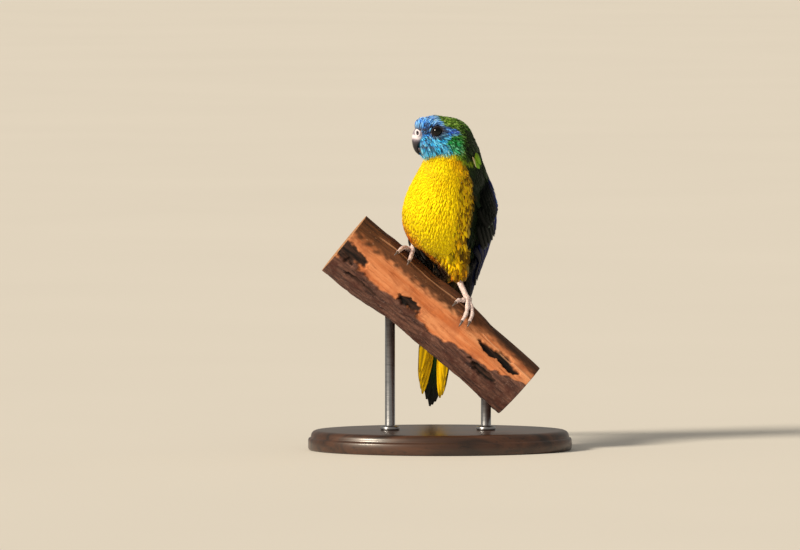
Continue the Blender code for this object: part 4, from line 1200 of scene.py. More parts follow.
def tail_colour(places, points):
    """Middle feathers green above and black below, the outer ones yellow with dark inner edges and roots."""
    number = places[:, 2].astype(int)
    pair, side = number // 2, np.where(number % 2 == 0, 1.0, -1.0)
    out = places[:, 0] * side
    black = plain("#0B0C0D", len(points))
    green = mixed(black, "#2F6B22", smoothstep(0.95, 0.4, places[:, 1]) * 0.8)
    bright = plain("#F2C400", len(points))
    ragged = wavy(points, 3.0) * 0.25
    dark = smoothstep(0.1, -0.15, places[:, 1] + ragged)
    edge = smoothstep(0.6, 0.9, out + ragged * 0.6)
    shaft = smoothstep(0.16, 0.04, np.abs(out + ragged * 0.3)) * 0.7
    spots = smoothstep(0.35, 0.8, wavy(points * [1, 0.5, 0.5], 1.6, 9.0)) * smoothstep(0.4, 0.8, places[:, 1])
    bright = mixed(bright, "#16140A", np.clip(np.max([dark, edge, shaft, spots * 0.8], axis=0), 0, 1))
    return np.where((pair >= 2)[:, None], bright, green)


def make_tail():
    """Twelve graduated feathers."""
    start = TAIL_START + TAIL_AXIS * 8
    long = np.linalg.norm(TAIL_TIP - start)
    drawn = np.random.default_rng(81)
    stations = 20
    share = np.linspace(0, 1, stations)
    lines, widths, heights = [], [], []
    for number, (offset, half_width, height, length_share) in enumerate(TAIL_VANES):
        for side in SIDES.values():
            high = height - 0.85 if number == 0 and side < 0 else height
            length = long * length_share * (1 + drawn.uniform(-0.008, 0.008))
            wide = side * offset * (0.62 + 0.38 * share) + drawn.uniform(-0.25, 0.25) * share
            lines.append(start + np.outer(share * length, TAIL_AXIS) + np.outer(wide, TAIL[1]))
            widths.append(half_width * np.interp(share, *POINTED))
            heights.append(np.full(stations, high + 0.25))
    lines = np.array(lines)
    normals = np.broadcast_to(TAIL[2], lines.shape)
    tail = vanes_object("tail_feathers", lines, normals, np.array(widths), np.array(heights),
                        np.zeros(len(lines)), 0.4, tail_colour)
    finish_piece(tail, "plumage_tail", "tail")


def make_tail_coverts():
    """Long coverts over the root of the tail: green above, and yellow below, near black in the rows nearest
    the vent as painted shade.
    """
    drawn = np.random.default_rng(121)
    back, degrees = rows_of(np.arange(46.0, 90.0, 2.6), 128, 233, 11.0, drawn)
    length = drawn.uniform(13.0, 16.0, len(back))
    high = drawn.uniform(0.5, 0.9, len(back))
    half = drawn.uniform(1.8, 2.2, len(back))
    colours = mixed(plain("#3F701A", len(back)), "#6A9420", drawn.uniform(0, 0.6, len(back)))
    lay_feathers("tail_coverts_upper", "plumage_tail", COAT, back, degrees, half, length,
                 np.full(len(back), -0.5), high, colours, 122, 0.1)
    back, degrees = rows_of(np.arange(58.0, 106.0, 2.6), -62, 64, 12.0, drawn)
    length = drawn.uniform(14.0, 18.0, len(back))
    high = drawn.uniform(0.4, 0.9, len(back))
    half = drawn.uniform(1.5, 2.0, len(back))
    colours = mixed(plain("#F2C400", len(back)), "#A06A00", drawn.uniform(0, 0.7, len(back)))
    # Painted shade: the rows nearest the vent are darkened to near black
    colours = mixed(colours, "#140D05", smoothstep(84, 70, back) * 0.95)
    lay_feathers("tail_coverts_lower", "plumage_tail", COAT, back, degrees, half, length,
                 np.full(len(back), -0.5), high, colours, 123, 0.1)


def make_tufts():
    """A raised tuft at the side of the neck, bright green with one pale feather as painted sunlight, and the
    feathering over the top of the right leg, near black as painted shade.
    """
    drawn = np.random.default_rng(131)
    back = np.array([-14.2, -13.6, -13.0, -12.2, -13.4, -14.0])
    degrees = np.array([84, 79, 74, 80, 86, 70.0])
    # Painted sunlight: the tuft is bright green, and one feather at its edge is pale
    colours = plain("#7FB428", 6) * drawn.uniform(0.7, 1.3, 6)[:, None]
    colours[5] = linear("#D6D2A0")
    half = np.array([1.7, 1.6, 1.5, 1.6, 1.4, 0.7])
    lay_feathers("neck_tuft", "plumage_body", COAT, back, degrees, half, drawn.uniform(5.2, 6.2, 6),
                 np.full(6, 0.4), drawn.uniform(1.2, 1.8, 6), colours, 132, 0.1)
    backs = np.arange(31.0, 48.0, 1.6)
    back, degrees = rows_of(backs, np.interp(backs, [31, 42], [-48, -70]), -20, 6.0, drawn)
    length = drawn.uniform(8.0, 11.0, len(back))
    # Painted shade: these feathers are near black
    colours = linear("#130D07") * drawn.uniform(0.6, 2.0, len(back))[:, None]
    high = drawn.uniform(0.6, 3.4, len(back))
    high = high + 1.8 * smoothstep(-36, -50, degrees) * smoothstep(36, 42, back)
    half = drawn.uniform(1.2, 1.7, len(back))
    lay_feathers("leg_feathers_right", "plumage_body", COAT, back, degrees, half, length,
                 np.full(len(back), -0.6), high, colours, 134, 0.3)


for side_name in SIDES:
    make_wing(side_name)
    make_shoulder(side_name)
make_tail()
make_tail_coverts()
make_tufts()


# Eyes, lids and bill

def eye_frame(side):
    """The eye's centre, and its outward, forward and upward directions."""
    outward = unit(HEAD[1] * side + HEAD[0] * 0.12)
    forward = unit(HEAD[0] - outward * (HEAD[0] @ outward))
    return eye_place(side), outward, forward, np.cross(outward, forward) * side


def eye_material():
    """Glass-clear cornea over a dark brown iris and a black pupil, as in a museum's glass eye."""
    material, tree, shader = new_material("glass_eye", 0.03, IOR=1.36)
    angle = add(tree, "ShaderNodeAttribute", attribute_name="from_axis").outputs["Fac"]
    place = add(tree, "ShaderNodeTexCoord").outputs["Object"]
    fibres = add(tree, "ShaderNodeTexNoise", {"Vector": place, "Scale": 2500.0, "Detail": 2.0}).outputs[0]
    iris = add(tree, "ShaderNodeMix", {"Factor": fibres, "A": "#080403", "B": "#160B07"}, data_type="RGBA")
    pupil = add(tree, "ShaderNodeMapRange", {"Value": angle, "From Min": 0.52, "From Max": 0.6}).outputs[0]
    white = add(tree, "ShaderNodeMapRange", {"Value": angle, "From Min": 0.78, "From Max": 0.86}).outputs[0]
    inner = add(tree, "ShaderNodeMix", {"Factor": pupil, "A": "#020202", "B": iris.outputs["Result"]},
                data_type="RGBA").outputs["Result"]
    whole = add(tree, "ShaderNodeMix", {"Factor": white, "A": inner, "B": "#080605"}, data_type="RGBA")
    dress(tree, shader, whole.outputs["Result"])
    return material


def skin_scale_material(name, dark, light, scale):
    """Bare skin in small dry scales, matt with a slight sheen on each scale."""
    material, tree, shader = new_material(name, 0.5, Specular_IOR_Level=0.4)
    place = add(tree, "ShaderNodeTexCoord").outputs["Object"]
    cells = add(tree, "ShaderNodeTexVoronoi", {"Vector": place, "Scale": 1000.0 / scale},
                feature="DISTANCE_TO_EDGE").outputs["Distance"]
    noise = add(tree, "ShaderNodeTexNoise", {"Vector": place, "Scale": 700.0, "Detail": 3.0}).outputs[0]
    crease = add(tree, "ShaderNodeMapRange", {"Value": cells, "From Max": 0.12}).outputs[0]
    blend = add(tree, "ShaderNodeMath", {0: crease, 1: noise}, operation="MULTIPLY").outputs[0]
    blend = add(tree, "ShaderNodeMapRange", {"Value": blend, "From Max": 0.62}).outputs[0]
    colour = add(tree, "ShaderNodeMix", {"Factor": blend, "A": dark, "B": light}, data_type="RGBA")
    dress(tree, shader, colour.outputs["Result"], crease, 0.5, 0.12)
    return material


LID_SKIN = skin_scale_material("eyelid_skin", "#08080E", "#2C2834", 0.35)
LEG_SKIN = skin_scale_material("dry_leg_scales", "#B3928E", "#F7E8E6", 0.8)


def make_eye(side_name):
    centre, outward, forward, up = eye_frame(SIDES[side_name])
    rings, angles = [], []
    columns, rows = 40, 28
    turns = full_turn(columns)
    for row in range(1, rows):
        polar = math.pi * row / rows
        # The cornea bulges a little in front of the iris
        radius = EYE_RADIUS + 0.12 * math.exp(-(polar / 0.5) ** 2)
        rings.append(centre + radius * (outward * math.cos(polar) + math.sin(polar) * (
            np.outer(np.cos(turns), forward) + np.outer(np.sin(turns), up))))
        angles += [polar] * columns
    ends = centre + outward * (EYE_RADIUS + 0.12), centre - outward * EYE_RADIUS
    eye = mesh_object("eyeball_" + side_name, *loft(rings, *ends), EYE)
    put(eye.data, "from_axis", "FLOAT", angles + [0.0, math.pi])
    finish_piece(eye, "eye_brown", "eye_" + side_name)
    # Lids: an oval rim of beaded skin that overlaps the ball
    count, around = 72, 10
    points = []
    for k in range(count):
        turn = 2 * math.pi * k / count
        spoke = forward * math.cos(turn) * 1.08 + up * math.sin(turn) * 0.92
        bead = 1 + 0.14 * math.sin(24 * turn)
        # The lower lid is the thicker one
        thick = (0.27 - 0.08 * math.sin(turn)) * bead
        middle = centre + spoke * (LID_RADIUS - 0.05) + outward * (1.72 + 0.1 * math.cos(2 * turn))
        for j in range(around):
            roll = 2 * math.pi * j / around
            points.append(middle + unit(spoke) * thick * math.cos(roll) * 1.15
                          + outward * thick * math.sin(roll))
    faces = [tuple(index % len(points) for index in face) for face in ring_faces(count + 1, around)]
    finish_piece(mesh_object("eyelids_" + side_name, points, faces, LID_SKIN), "plumage_head")


def bill_material():
    """Keratin that darkens from the pale cere to a near-black tip, worn semi-gloss with growth lines."""
    material, tree, shader = new_material("bill_keratin", 0.34, Coat_Weight=0.15, Coat_Roughness=0.3)
    stain = add(tree, "ShaderNodeAttribute", attribute_name="stain").outputs["Fac"]
    place = add(tree, "ShaderNodeTexCoord").outputs["Object"]
    noise = add(tree, "ShaderNodeTexNoise", {"Vector": place, "Scale": 600.0, "Detail": 4.0}).outputs[0]
    mottled = add(tree, "ShaderNodeMath", {0: noise, 1: 0.3, 2: -0.15}, operation="MULTIPLY_ADD").outputs[0]
    where = add(tree, "ShaderNodeMath", {0: stain, 1: mottled}, operation="ADD").outputs[0]
    ramp = add(tree, "ShaderNodeValToRGB", {"Fac": where})
    stops = [(0.0, "#EFE8EE"), (0.25, "#C4BAC8"), (0.45, "#7C7582"), (0.65, "#3A3640"), (1.0, "#131116")]
    while len(ramp.color_ramp.elements) < len(stops):
        ramp.color_ramp.elements.new(0.5)
    for element, (position, colour) in zip(ramp.color_ramp.elements, stops):
        element.position, element.color = position, (*linear(colour), 1.0)
    lines = add(tree, "ShaderNodeTexWave", {
        "Vector": place, "Scale": 420.0, "Distortion": 6.0, "Detail": 2.0}, bands_direction="Z")
    dress(tree, shader, ramp.outputs["Color"], lines.outputs["Fac"], 0.12, 0.05)
    return material


def mandible(name, places, wide, deep, node, stain):
    """A mandible round a line in the head's middle plane, with the nostrils' rims where it has them."""
    stations, sides = 90, 80
    line = smooth_path([on_head(a, 0, w) for a, w in places], stations)
    share = np.linspace(0, 1, stations)
    spread, depth = [np.interp(share, np.linspace(0, 1, len(r)), r) for r in (wide, deep)]
    points, faces = loft(tube_rings(line, spread, sides, depth / spread, HEAD[1]))
    middle = np.vstack([np.repeat(line, sides, axis=0), line[:1], line[-1:]])
    outward = unit(points - middle)
    local = in_head(points)
    shade = stain(local)
    if node == "bill_upper":
        # On each side an oval nostril, sunk into a low pale ring
        apart = np.hypot((local[:, 0] - NOSTRIL[0]) / 0.62, (local[:, 2] - NOSTRIL[1]) / 1.2)
        apart = np.where(np.abs(local[:, 1]) > 1.2, apart, 9.0)
        rise = 0.32 * np.exp(-((apart - 1.35) / 0.4) ** 2) - 0.9 * smoothstep(0.95, 0.45, apart)
        points = points + outward * rise[:, None]
        shade = np.where(apart < 0.8, 0.95, shade * (1 - 0.8 * np.exp(-((apart - 1.35) / 0.5) ** 2)))
    made = mesh_object(name, points, faces, BILL)
    put(made.data, "stain", "FLOAT", shade)
    finish_piece(made, "bill_grey", node)


# The nostril's middle: ahead of and above the middle of the head
NOSTRIL = (14.7, 0.8)
# How dark the upper bill is by height: grey at the top, pale below the nostrils as a painted highlight, and
# black at the tip
CERE_HEIGHTS = [-7.0, -5.2, -3.9, -2.9, -2.2, -1.5, -0.9, -0.3, 0.5]
CERE_STAIN = [1.0, 0.85, 0.62, 0.42, 0.2, 0.04, 0.08, 0.36, 0.42]


def make_bill():
    """The bill's two halves, each from places in the middle plane of the head, ahead and above its middle."""
    upper = [(8, 0.9), (11, 0.9), (13.2, -0.4), (14.4, -2.8), (14.9, -5.6), (14.5, -8.0), (13.2, -10.2)]
    mandible("bill_upper_worn", upper, [3.9, 4.1, 3.7, 3.1, 2.3, 1.4, 0.35],
             [3.4, 3.8, 3.5, 2.7, 1.75, 1.0, 0.25], "bill_upper",
             lambda at: np.interp(at[:, 2] - 0.3 * (at[:, 0] - 15), CERE_HEIGHTS, CERE_STAIN))
    lower = [(8, -6.2), (11.3, -7.2), (13.0, -7.6), (13.9, -6.6)]
    mandible("bill_lower_worn", lower, [3.2, 3.0, 2.4, 1.3], [2.6, 2.3, 1.6, 0.7],
             "bill_lower", lambda at: 0.42 + 0.4 * smoothstep(-6, -9, at[:, 2]))


# Branch, feet and stand

BRANCH_POINTS = [(-47.5, 104.0), (-28.0, 88.0), (-15.0, 78.0), (4.5, 61.5), (39.5, 29.5)]
BRANCH_RADII = [18.0, 17.0, 16.2, 15.8, 15.4]
BRANCH_LINE = smooth_path([(x, 0.0, z) for x, z in BRANCH_POINTS], 240)
# Millimetres of bark to a degree round the branch
DEGREE = 0.28
# About how far the bark lies from the middle of a sawn end, whose growth rings are drawn by this distance
RIM = 16.0
TOE_RADIUS, PAD_RADIUS, TARSUS_RADIUS = 1.05, 1.65, 1.2


def branch_at(x):
    """Points, up normals and radii of the branch where its axis has given x."""
    x = np.asarray(x, float)
    tangents = unit(np.gradient(BRANCH_LINE, axis=0))
    point = np.stack([x, x * 0, np.interp(x, BRANCH_LINE[:, 0], BRANCH_LINE[:, 2])], axis=-1)
    along = [np.interp(x, BRANCH_LINE[:, 0], tangents[:, k]) for k in (0, 2)]
    up = unit(np.stack([-along[1], x * 0, along[0]], axis=-1))
    return point, up, np.interp(x, [p[0] for p in BRANCH_POINTS], BRANCH_RADII)


def bark_height(along, turn):
    ridges = 0.35 * np.sin(3 * turn + 0.06 * along) + 0.25 * np.sin(7 * turn - 0.11 * along)
    return ridges + 0.4 * np.sin(0.19 * along + 1.3) * np.sin(2 * turn + 0.7)


def out_from_branch(x, turn):
    """Outward directions. Turn 0 is the branch's top, and a quarter turn faces the viewer."""
    return branch_at(x)[1] * np.cos(turn)[..., None] + np.array([0, -1.0, 0]) * np.sin(turn)[..., None]


def on_branch(x, turn, height):
    """Places at heights over the bark."""
    point, _, radius = branch_at(x)
    return point + out_from_branch(x, turn) * (radius + bark_height(x, turn) + height)[..., None]


def bark_layers(x, turn):
    """How far the bark is gone (1) or kept (0), how weathered the wood is, and how deep the holes are."""
    degrees = np.degrees(turn) % 360
    near = np.stack([x, degrees * DEGREE, x * 0], axis=-1)
    jagged = wavy(near * [0.35, 1, 1], 5.0, 2.0) * 7 + wavy(near, 2.2, 7.0) * 3.5
    step = 5.0 * np.sign(np.sin(x * 0.21 + 1.0)) * smoothstep(0.2, 0.9, np.abs(np.sin(x * 0.21 + 1.0)))
    low_edge = np.interp(x, [-47, -10, 12, 19, 26, 31, 39], [113, 110, 112, 110, 97, 82, 70]) + jagged + step
    gone = smoothstep(low_edge + 1.0, low_edge - 1.0, degrees) * smoothstep(2, 6, 360 - degrees)
    back_edge = 318 + jagged * 1.5
    gone = np.maximum(gone, smoothstep(back_edge - 2, back_edge + 2, degrees))
    upper_edge = np.interp(x, [-47, -20, 5, 20, 39], [70, 66, 60, 42, 38])
    upper_edge = upper_edge + wavy(near * [0.5, 1, 1], 9.0, 4.0) * 8
    upper_edge = upper_edge + wavy(near * [0.4, 1, 1], 2.6, 1.0) * 3.5
    old = smoothstep(upper_edge + 7, upper_edge - 9, degrees + 5 * wavy(near, 1.6, 5.0))
    old = np.maximum(old, smoothstep(250, 300, degrees))
    holes = np.zeros(x.shape)
    for place, at, length, width, lean in HOLES:
        along, across = (x - place), (degrees - at) * DEGREE
        along, across = along + across * lean, across - along * lean * 0.3
        edge = 1 - np.sqrt((along / length) ** 2 + (across / width) ** 2)
        edge = edge + 0.3 * wavy(near * [0.6, 1, 1], 2.6, place) + 0.16 * wavy(near, 1.1, place)
        holes = np.maximum(holes, smoothstep(-0.05, 0.2, edge))
    return gone, old, holes


# Torn holes in the bark: where the branch's axis has x, degrees round it, half length and half width, lean
HOLES = [(-13.5, 102, 5.8, 3.0, 0.35), (-43.5, 97, 8.5, 4.6, 0.2), (21.0, 66, 6.5, 2.6, -0.1),
         (28.0, 62, 6.0, 3.2, 0.0), (24.5, 108, 6.5, 2.2, 0.25), (-33.0, 128, 9.0, 1.0, 0.2)]


def wood_material():
    """Gum-tree branch: flaking purple-brown bark, fresh orange wood where it peeled, and old brown wood."""
    material, tree, shader = new_material("peeling_gum_bark", 0.82, Specular_IOR_Level=0.25)
    place = add(tree, "ShaderNodeTexCoord").outputs["Object"]
    slope = math.atan2(BRANCH_POINTS[0][1] - BRANCH_POINTS[-1][1], BRANCH_POINTS[-1][0] - BRANCH_POINTS[0][0])
    along = add(tree, "ShaderNodeMapping", {"Vector": place, "Rotation": (0.0, -slope, 0.0)}).outputs[0]
    drawn_out = add(tree, "ShaderNodeMapping", {"Vector": along, "Scale": (0.12, 1.0, 1.0)}).outputs[0]
    # Each surface starts from its darkest or its main colour. Then noise of a size in millimetres, with its
    # detail and roughness, lets in another colour where it lies between two limits
    surfaces = {
        "fresh": ("#BE6A3A", [(drawn_out, 5.0, 6.0, 0.6, (0.35, 0.7), "#E6A070"),
                              (drawn_out, 1.2, 4.0, 0.6, (0.52, 0.75), "#A25730"),
                              (along, 12.0, 3.0, 0.6, (0.5, 0.7), "#A8613C")]),
        "aged": ("#3C2619", [(drawn_out, 3.0, 6.0, 0.6, (0.35, 0.7), "#7C4E32"),
                             (drawn_out, 0.9, 3.0, 0.6, (0.55, 0.75), "#241610"),
                             (along, 2.6, 4.0, 0.7, (0.62, 0.72), "#A87C5C")]),
        "bark": ("#2A1A1A", [(drawn_out, 2.2, 6.0, 0.75, (0.36, 0.66), "#7C5648"),
                             (along, 1.0, 5.0, 0.8, (0.58, 0.76), "#A88D84"),
                             (along, 7.0, 3.0, 0.6, (0.48, 0.66), "#4A2A22")]),
        # Inside the torn holes: near black
        "hole_dark": ("#0E0807", [(drawn_out, 2.0, 5.0, 0.6, (0.42, 0.7), "#4E342A")]),
    }
    shown = {"splinter": "#D9A27C"}
    for name, (colour, noises) in surfaces.items():
        for source, size, detail, rough, (low, high), other in noises:
            noise = add(tree, "ShaderNodeTexNoise", {
                "Vector": source, "Scale": 1000.0 / size, "Detail": detail, "Roughness": rough})
            amount = add(tree, "ShaderNodeMapRange", {
                "Value": noise.outputs[0], "From Min": low, "From Max": high})
            mix = add(tree, "ShaderNodeMix", {"Factor": amount.outputs[0], "A": colour, "B": other},
                      data_type="RGBA")
            colour = mix.outputs["Result"]
        shown[name] = colour
    # The sawn ends show pale wood with a growth ring about every millimetre and a half
    slow = add(tree, "ShaderNodeTexNoise", {
        "Vector": along, "Scale": 1000.0 / 9.0, "Detail": 2.0, "Roughness": 0.6})
    rim = add(tree, "ShaderNodeAttribute", attribute_name="rim").outputs["Fac"]
    waver = add(tree, "ShaderNodeMath", {0: slow.outputs[0], 1: 1.6, 2: rim}, operation="MULTIPLY_ADD")
    turns = add(tree, "ShaderNodeMath", {0: waver.outputs[0], 1: 2 * math.pi / 1.5}, operation="MULTIPLY")
    waves = add(tree, "ShaderNodeMath", {0: turns.outputs[0]}, operation="SINE")
    late = add(tree, "ShaderNodeMapRange", {"Value": waves.outputs[0], "From Min": -0.6, "From Max": 1.0})
    shown["rings"] = add(tree, "ShaderNodeMix", {
        "Factor": late.outputs[0], "A": "#8C5A38", "B": "#CFA074"}, data_type="RGBA").outputs["Result"]
    # Which surface lies over which, as far as the branch's own layers say
    for layer, under, over in (("weathered", "fresh", "aged"), ("peeled", "bark", "weathered"),
                               ("torn", "peeled", "hole_dark"), ("ridge", "torn", "splinter"),
                               ("sawn", "ridge", "rings")):
        amount = add(tree, "ShaderNodeAttribute", attribute_name=layer).outputs["Fac"]
        shown[layer] = add(tree, "ShaderNodeMix", {"Factor": amount, "A": shown[under], "B": shown[over]},
                           data_type="RGBA").outputs["Result"]
    coarse = add(tree, "ShaderNodeTexNoise", {
        "Vector": drawn_out, "Scale": 1000.0 / 2.5, "Detail": 5.0, "Roughness": 0.6})
    fine = add(tree, "ShaderNodeTexNoise", {
        "Vector": along, "Scale": 1000.0 / 0.9, "Detail": 6.0, "Roughness": 0.75})
    relief = add(tree, "ShaderNodeMath", {0: fine.outputs[0], 1: coarse.outputs[0]}, operation="ADD")
    dress(tree, shader, shown["sawn"], relief.outputs[0], 0.5, 0.5)
    return material


def make_branch():
    """The cut length of branch, its surface in layers, its ends sawn square."""
    rows, sides = 330, 250
    xs = np.linspace(BRANCH_POINTS[0][0], BRANCH_POINTS[-1][0], rows)
    x, turn = [grid.ravel() for grid in np.meshgrid(xs, full_turn(sides), indexing="ij")]
    gone, old, holes = bark_layers(x, turn)
    degrees = np.degrees(turn)
    near = np.stack([x, degrees * DEGREE, x * 0], axis=-1)
    flakes = np.abs(wavy(near * [0.3, 1, 1], 2.8, 3.0)) * 0.5 + 0.2 * wavy(near * [0.5, 1, 1], 1.1, 9.0)
    grain = 0.12 * wavy(near * [0.12, 1, 1], 1.3, 1.0)
    # A thin pale splinter of wood stands up along the branch
    ridge_at = np.interp(x, [-47, -28, 5, 7, 20, 39], [38, 38, 36, 44, 52, 54])
    ridge_at = ridge_at + 1.2 * wavy(near * [1, 0, 0], 9.0)
    ridge = np.exp(-((degrees - ridge_at) / 1.1) ** 2) * smoothstep(-40, -36, x)
    ridge = ridge * (1 - smoothstep(5.5, 7.0, x) * smoothstep(16, 14, x))
    height = -0.9 * gone + flakes * (1 - gone) + grain * gone - 1.8 * holes
    height = height + 0.4 * ridge + 0.35 * gone * old - 0.1
    # Close to the feet the bark keeps the height that they grip
    for pad_x, pad_turn in ((2.6, 6), (-25.0, 10)):
        apart = np.sqrt((x - pad_x) ** 2 + ((degrees - pad_turn + 180) % 360 - 180) ** 2 * DEGREE**2)
        height = np.where(apart < 14, height + (-0.05 - height) * smoothstep(14, 9, apart) * 0.8, height)
    rings = on_branch(x, turn, height).reshape(rows, sides, 3)
    values = np.stack([gone, old, holes, ridge * 0.8, 0 * x, 0 * x + RIM]).reshape(6, rows, sides)
    # Each sawn end is a few rings drawn in towards the middle
    inner = [0.995, 0.97, 0.85, 0.7, 0.5, 0.3, 0.12]
    caps = []
    cut = np.repeat(np.array([[1.0, 0.2, 0.0, 0.0, 1.0, RIM]]).T, len(inner), axis=1)
    cut[5] *= inner
    cut = np.repeat(cut[:, :, None], sides, axis=2)
    for end in (0, -1):
        middle = rings[end].mean(0)
        caps.append(np.array([middle + (rings[end] - middle) * share for share in inner]))
    rings = np.concatenate([caps[0][::-1], rings, caps[1]])
    values = np.concatenate([cut[:, ::-1], values, cut], axis=1).reshape(6, -1)
    points, faces = loft(rings)
    branch = mesh_object("peeling_branch", points, faces, WOOD)
    for name, value in zip(("peeled", "weathered", "torn", "ridge", "sawn", "rim"), values):
        ends = [0.0, 0.0] if name == "rim" else [value[0], value[-1]]
        put(branch.data, name, "FLOAT", np.concatenate([value, ends]))
    finish_piece(branch, "bark", "perch_branch")


# The pad of each foot and the places of its toes, from the first toe to the fourth: the x of the branch's
# axis there and the turn round it in degrees
FEET = {
    "left": {"pad": 2.3, "turn": 24, "ankle": (7.0, 0.5, 90.0), "toes": [
        [(1.4, 32), (0.2, 39), (0.0, 47)],
        [(4.4, 37), (5.6, 51), (6.2, 66)],
        [(5.2, 29), (7.3, 41), (8.4, 57)],
        [(3.4, 2), (4.2, -20), (5.0, -40)]]},
    "right": {"pad": -25.0, "turn": 10, "ankle": (-10.0, 4.0, 113.0), "toes": [
        [(-24.0, -18), (-23.6, -36), (-23.4, -54)],
        [(-24.2, 22), (-23.8, 34), (-23.5, 44)],
        [(-26.6, 10), (-28.8, 24), (-29.6, 46)],
        [(-26.8, -14), (-28.6, -28), (-29.8, -44)]]},
}


def place_on_branch(x, degrees, height):
    return on_branch(np.array(float(x)), np.array(math.radians(degrees)), height)


def scaly_tube(line, radii, sides, ring_length, side=None, flat=1.0):
    """Points and faces of a tube whose upper side steps in overlapping scales."""
    line = np.asarray(line, float)
    length = lengths_along(line)
    saw = (length / ring_length) % 1.0
    radii = np.asarray(radii) * (1 + 0.09 * (smoothstep(0, 0.75, saw) - smoothstep(0.8, 1.0, saw)) - 0.03)
    return loft(tube_rings(line, radii, sides, flat, side))


def make_foot(side_name):
    """Shank, pad and four toes with pads under their joints, and a curved claw on each toe."""
    foot = FEET[side_name]
    pad = place_on_branch(foot["pad"], foot["turn"], PAD_RADIUS + 0.3)
    ankle = np.array(foot["ankle"])
    way = unit(ankle - pad)
    shank = smooth_path([pad + way * 0.3, pad + way * 4, (pad + ankle) / 2 + way, ankle - way * 0.5,
                         ankle + way * 4], 60)
    share = np.linspace(0, 1, len(shank))
    radii = TARSUS_RADIUS * np.interp(share, [0, 0.15, 0.4, 0.65, 1], [1.2, 1.08, 1.15, 1.45, 1.55])
    parts = [scaly_tube(shank, radii, 20, 1.5)]
    claws = []
    for places in foot["toes"]:
        line = smooth_path([pad] + [place_on_branch(x, t, TOE_RADIUS + 0.12) for x, t in places], 48)
        length = lengths_along(line)
        joints = 1 + 0.10 * np.cos(2 * math.pi * length / (length[-1] / 3.0))
        radii = TOE_RADIUS * np.linspace(1.15, 0.78, len(line)) * joints
        radii[-3:] *= [0.92, 0.75, 0.45]
        parts.append(scaly_tube(line, radii, 18, 1.0))
        along = unit(line[-1] - line[-4])
        x, turn = places[-1]
        outward = out_from_branch(np.array(float(x)), np.array(math.radians(turn)))
        start = line[-1] - along * 0.5
        claw = smooth_path([start, start + along * 1.5 + outward * 0.45, start + along * 2.9 + outward * 0.2,
                            start + along * 3.7 - outward * 0.55], 22)
        radii = np.interp(np.linspace(0, 1, len(claw)), [0, 0.3, 0.8, 1], [0.72, 0.62, 0.3, 0.08])
        claws.append(loft(tube_rings(claw, radii, 14, 1.15)))
    turns = full_turn(18)
    ball = [pad + PAD_RADIUS * (UP * math.cos(p) + math.sin(p) * np.stack(
        [np.cos(turns), np.sin(turns), turns * 0], axis=1)) for p in np.linspace(0.2, math.pi - 0.2, 10)]
    parts.append(loft(ball))
    feet = join("scaled_foot_" + side_name, parts, LEG_SKIN)
    finish_piece(feet, "leg_skin", "foot_" + side_name, "leg_" + side_name)
    nodes = [f"claw_{side_name}_{k}" for k in range(1, 5)]
    finish_piece(join("curved_claws_" + side_name, claws, CLAW), "claw_horn", *nodes)


def claw_material():
    """Horn, dark grey and semi-gloss, paler at the root."""
    material, tree, shader = new_material("claw_horn_polished", 0.32, Coat_Weight=0.2, Coat_Roughness=0.25)
    place = add(tree, "ShaderNodeTexCoord").outputs["Object"]
    noise = add(tree, "ShaderNodeTexNoise", {"Vector": place, "Scale": 800.0, "Detail": 3.0}).outputs[0]
    colour = add(tree, "ShaderNodeMix", {"Factor": noise, "A": "#2A2426", "B": "#8A7A74"}, data_type="RGBA")
    dress(tree, shader, colour.outputs["Result"])
    return material


def lacquer_material():
    """Dark walnut under satin lacquer: long grain with darker pores."""
    material, tree, shader = new_material("lacquered_walnut", 0.38, Coat_Weight=0.35, Coat_Roughness=0.2)
    place = add(tree, "ShaderNodeTexCoord").outputs["Object"]
    stretched = add(tree, "ShaderNodeMapping", {"Vector": place, "Scale": (0.09, 1.0, 0.8)}).outputs[0]
    rings = add(tree, "ShaderNodeTexNoise", {"Vector": stretched, "Scale": 160.0, "Detail": 5.0,
                                             "Distortion": 0.6}).outputs[0]
    pores = add(tree, "ShaderNodeTexNoise", {"Vector": stretched, "Scale": 900.0, "Detail": 3.0}).outputs[0]
    tone = add(tree, "ShaderNodeMapRange", {"Value": rings, "From Min": 0.35, "From Max": 0.68}).outputs[0]
    colour = add(tree, "ShaderNodeMix", {"Factor": tone, "A": "#22140D", "B": "#4E2F1D"}, data_type="RGBA")
    dark = add(tree, "ShaderNodeMapRange", {"Value": pores, "From Min": 0.58, "From Max": 0.7,
                                            "To Max": 0.6}).outputs[0]
    colour = add(tree, "ShaderNodeMix", {"Factor": dark, "A": colour.outputs["Result"], "B": "#120A06"},
                 data_type="RGBA")
    dress(tree, shader, colour.outputs["Result"], pores, 0.08, 0.1)
    return material


def steel_material():
    """Stainless rod, turned and brushed round, so its roughness runs in fine rings."""
    material, tree, shader = new_material("brushed_steel", 0.28, Metallic=1.0)
    place = add(tree, "ShaderNodeTexCoord").outputs["Object"]
    rings = add(tree, "ShaderNodeMapping", {"Vector": place, "Scale": (0.05, 0.05, 1.0)}).outputs[0]
    fine = add(tree, "ShaderNodeTexNoise", {"Vector": rings, "Scale": 2500.0, "Detail": 3.0}).outputs[0]
    colour = add(tree, "ShaderNodeMix", {"Factor": fine, "A": "#8E9094", "B": "#B9BBBF"}, data_type="RGBA")
    dress(tree, shader, colour.outputs["Result"])
    rough = add(tree, "ShaderNodeMapRange", {"Value": fine, "To Min": 0.22, "To Max": 0.4})
    tree.links.new(rough.outputs[0], shader.inputs["Roughness"])
    return material


def level_rings(x, rows, sides):
    """Level oval rings round an upright line at x, from rows of half width, half depth and height."""
    turns = full_turn(sides)
    return [np.stack([x + wide * np.cos(turns), deep * np.sin(turns), turns * 0 + height], axis=1)
            for wide, deep, height in rows]


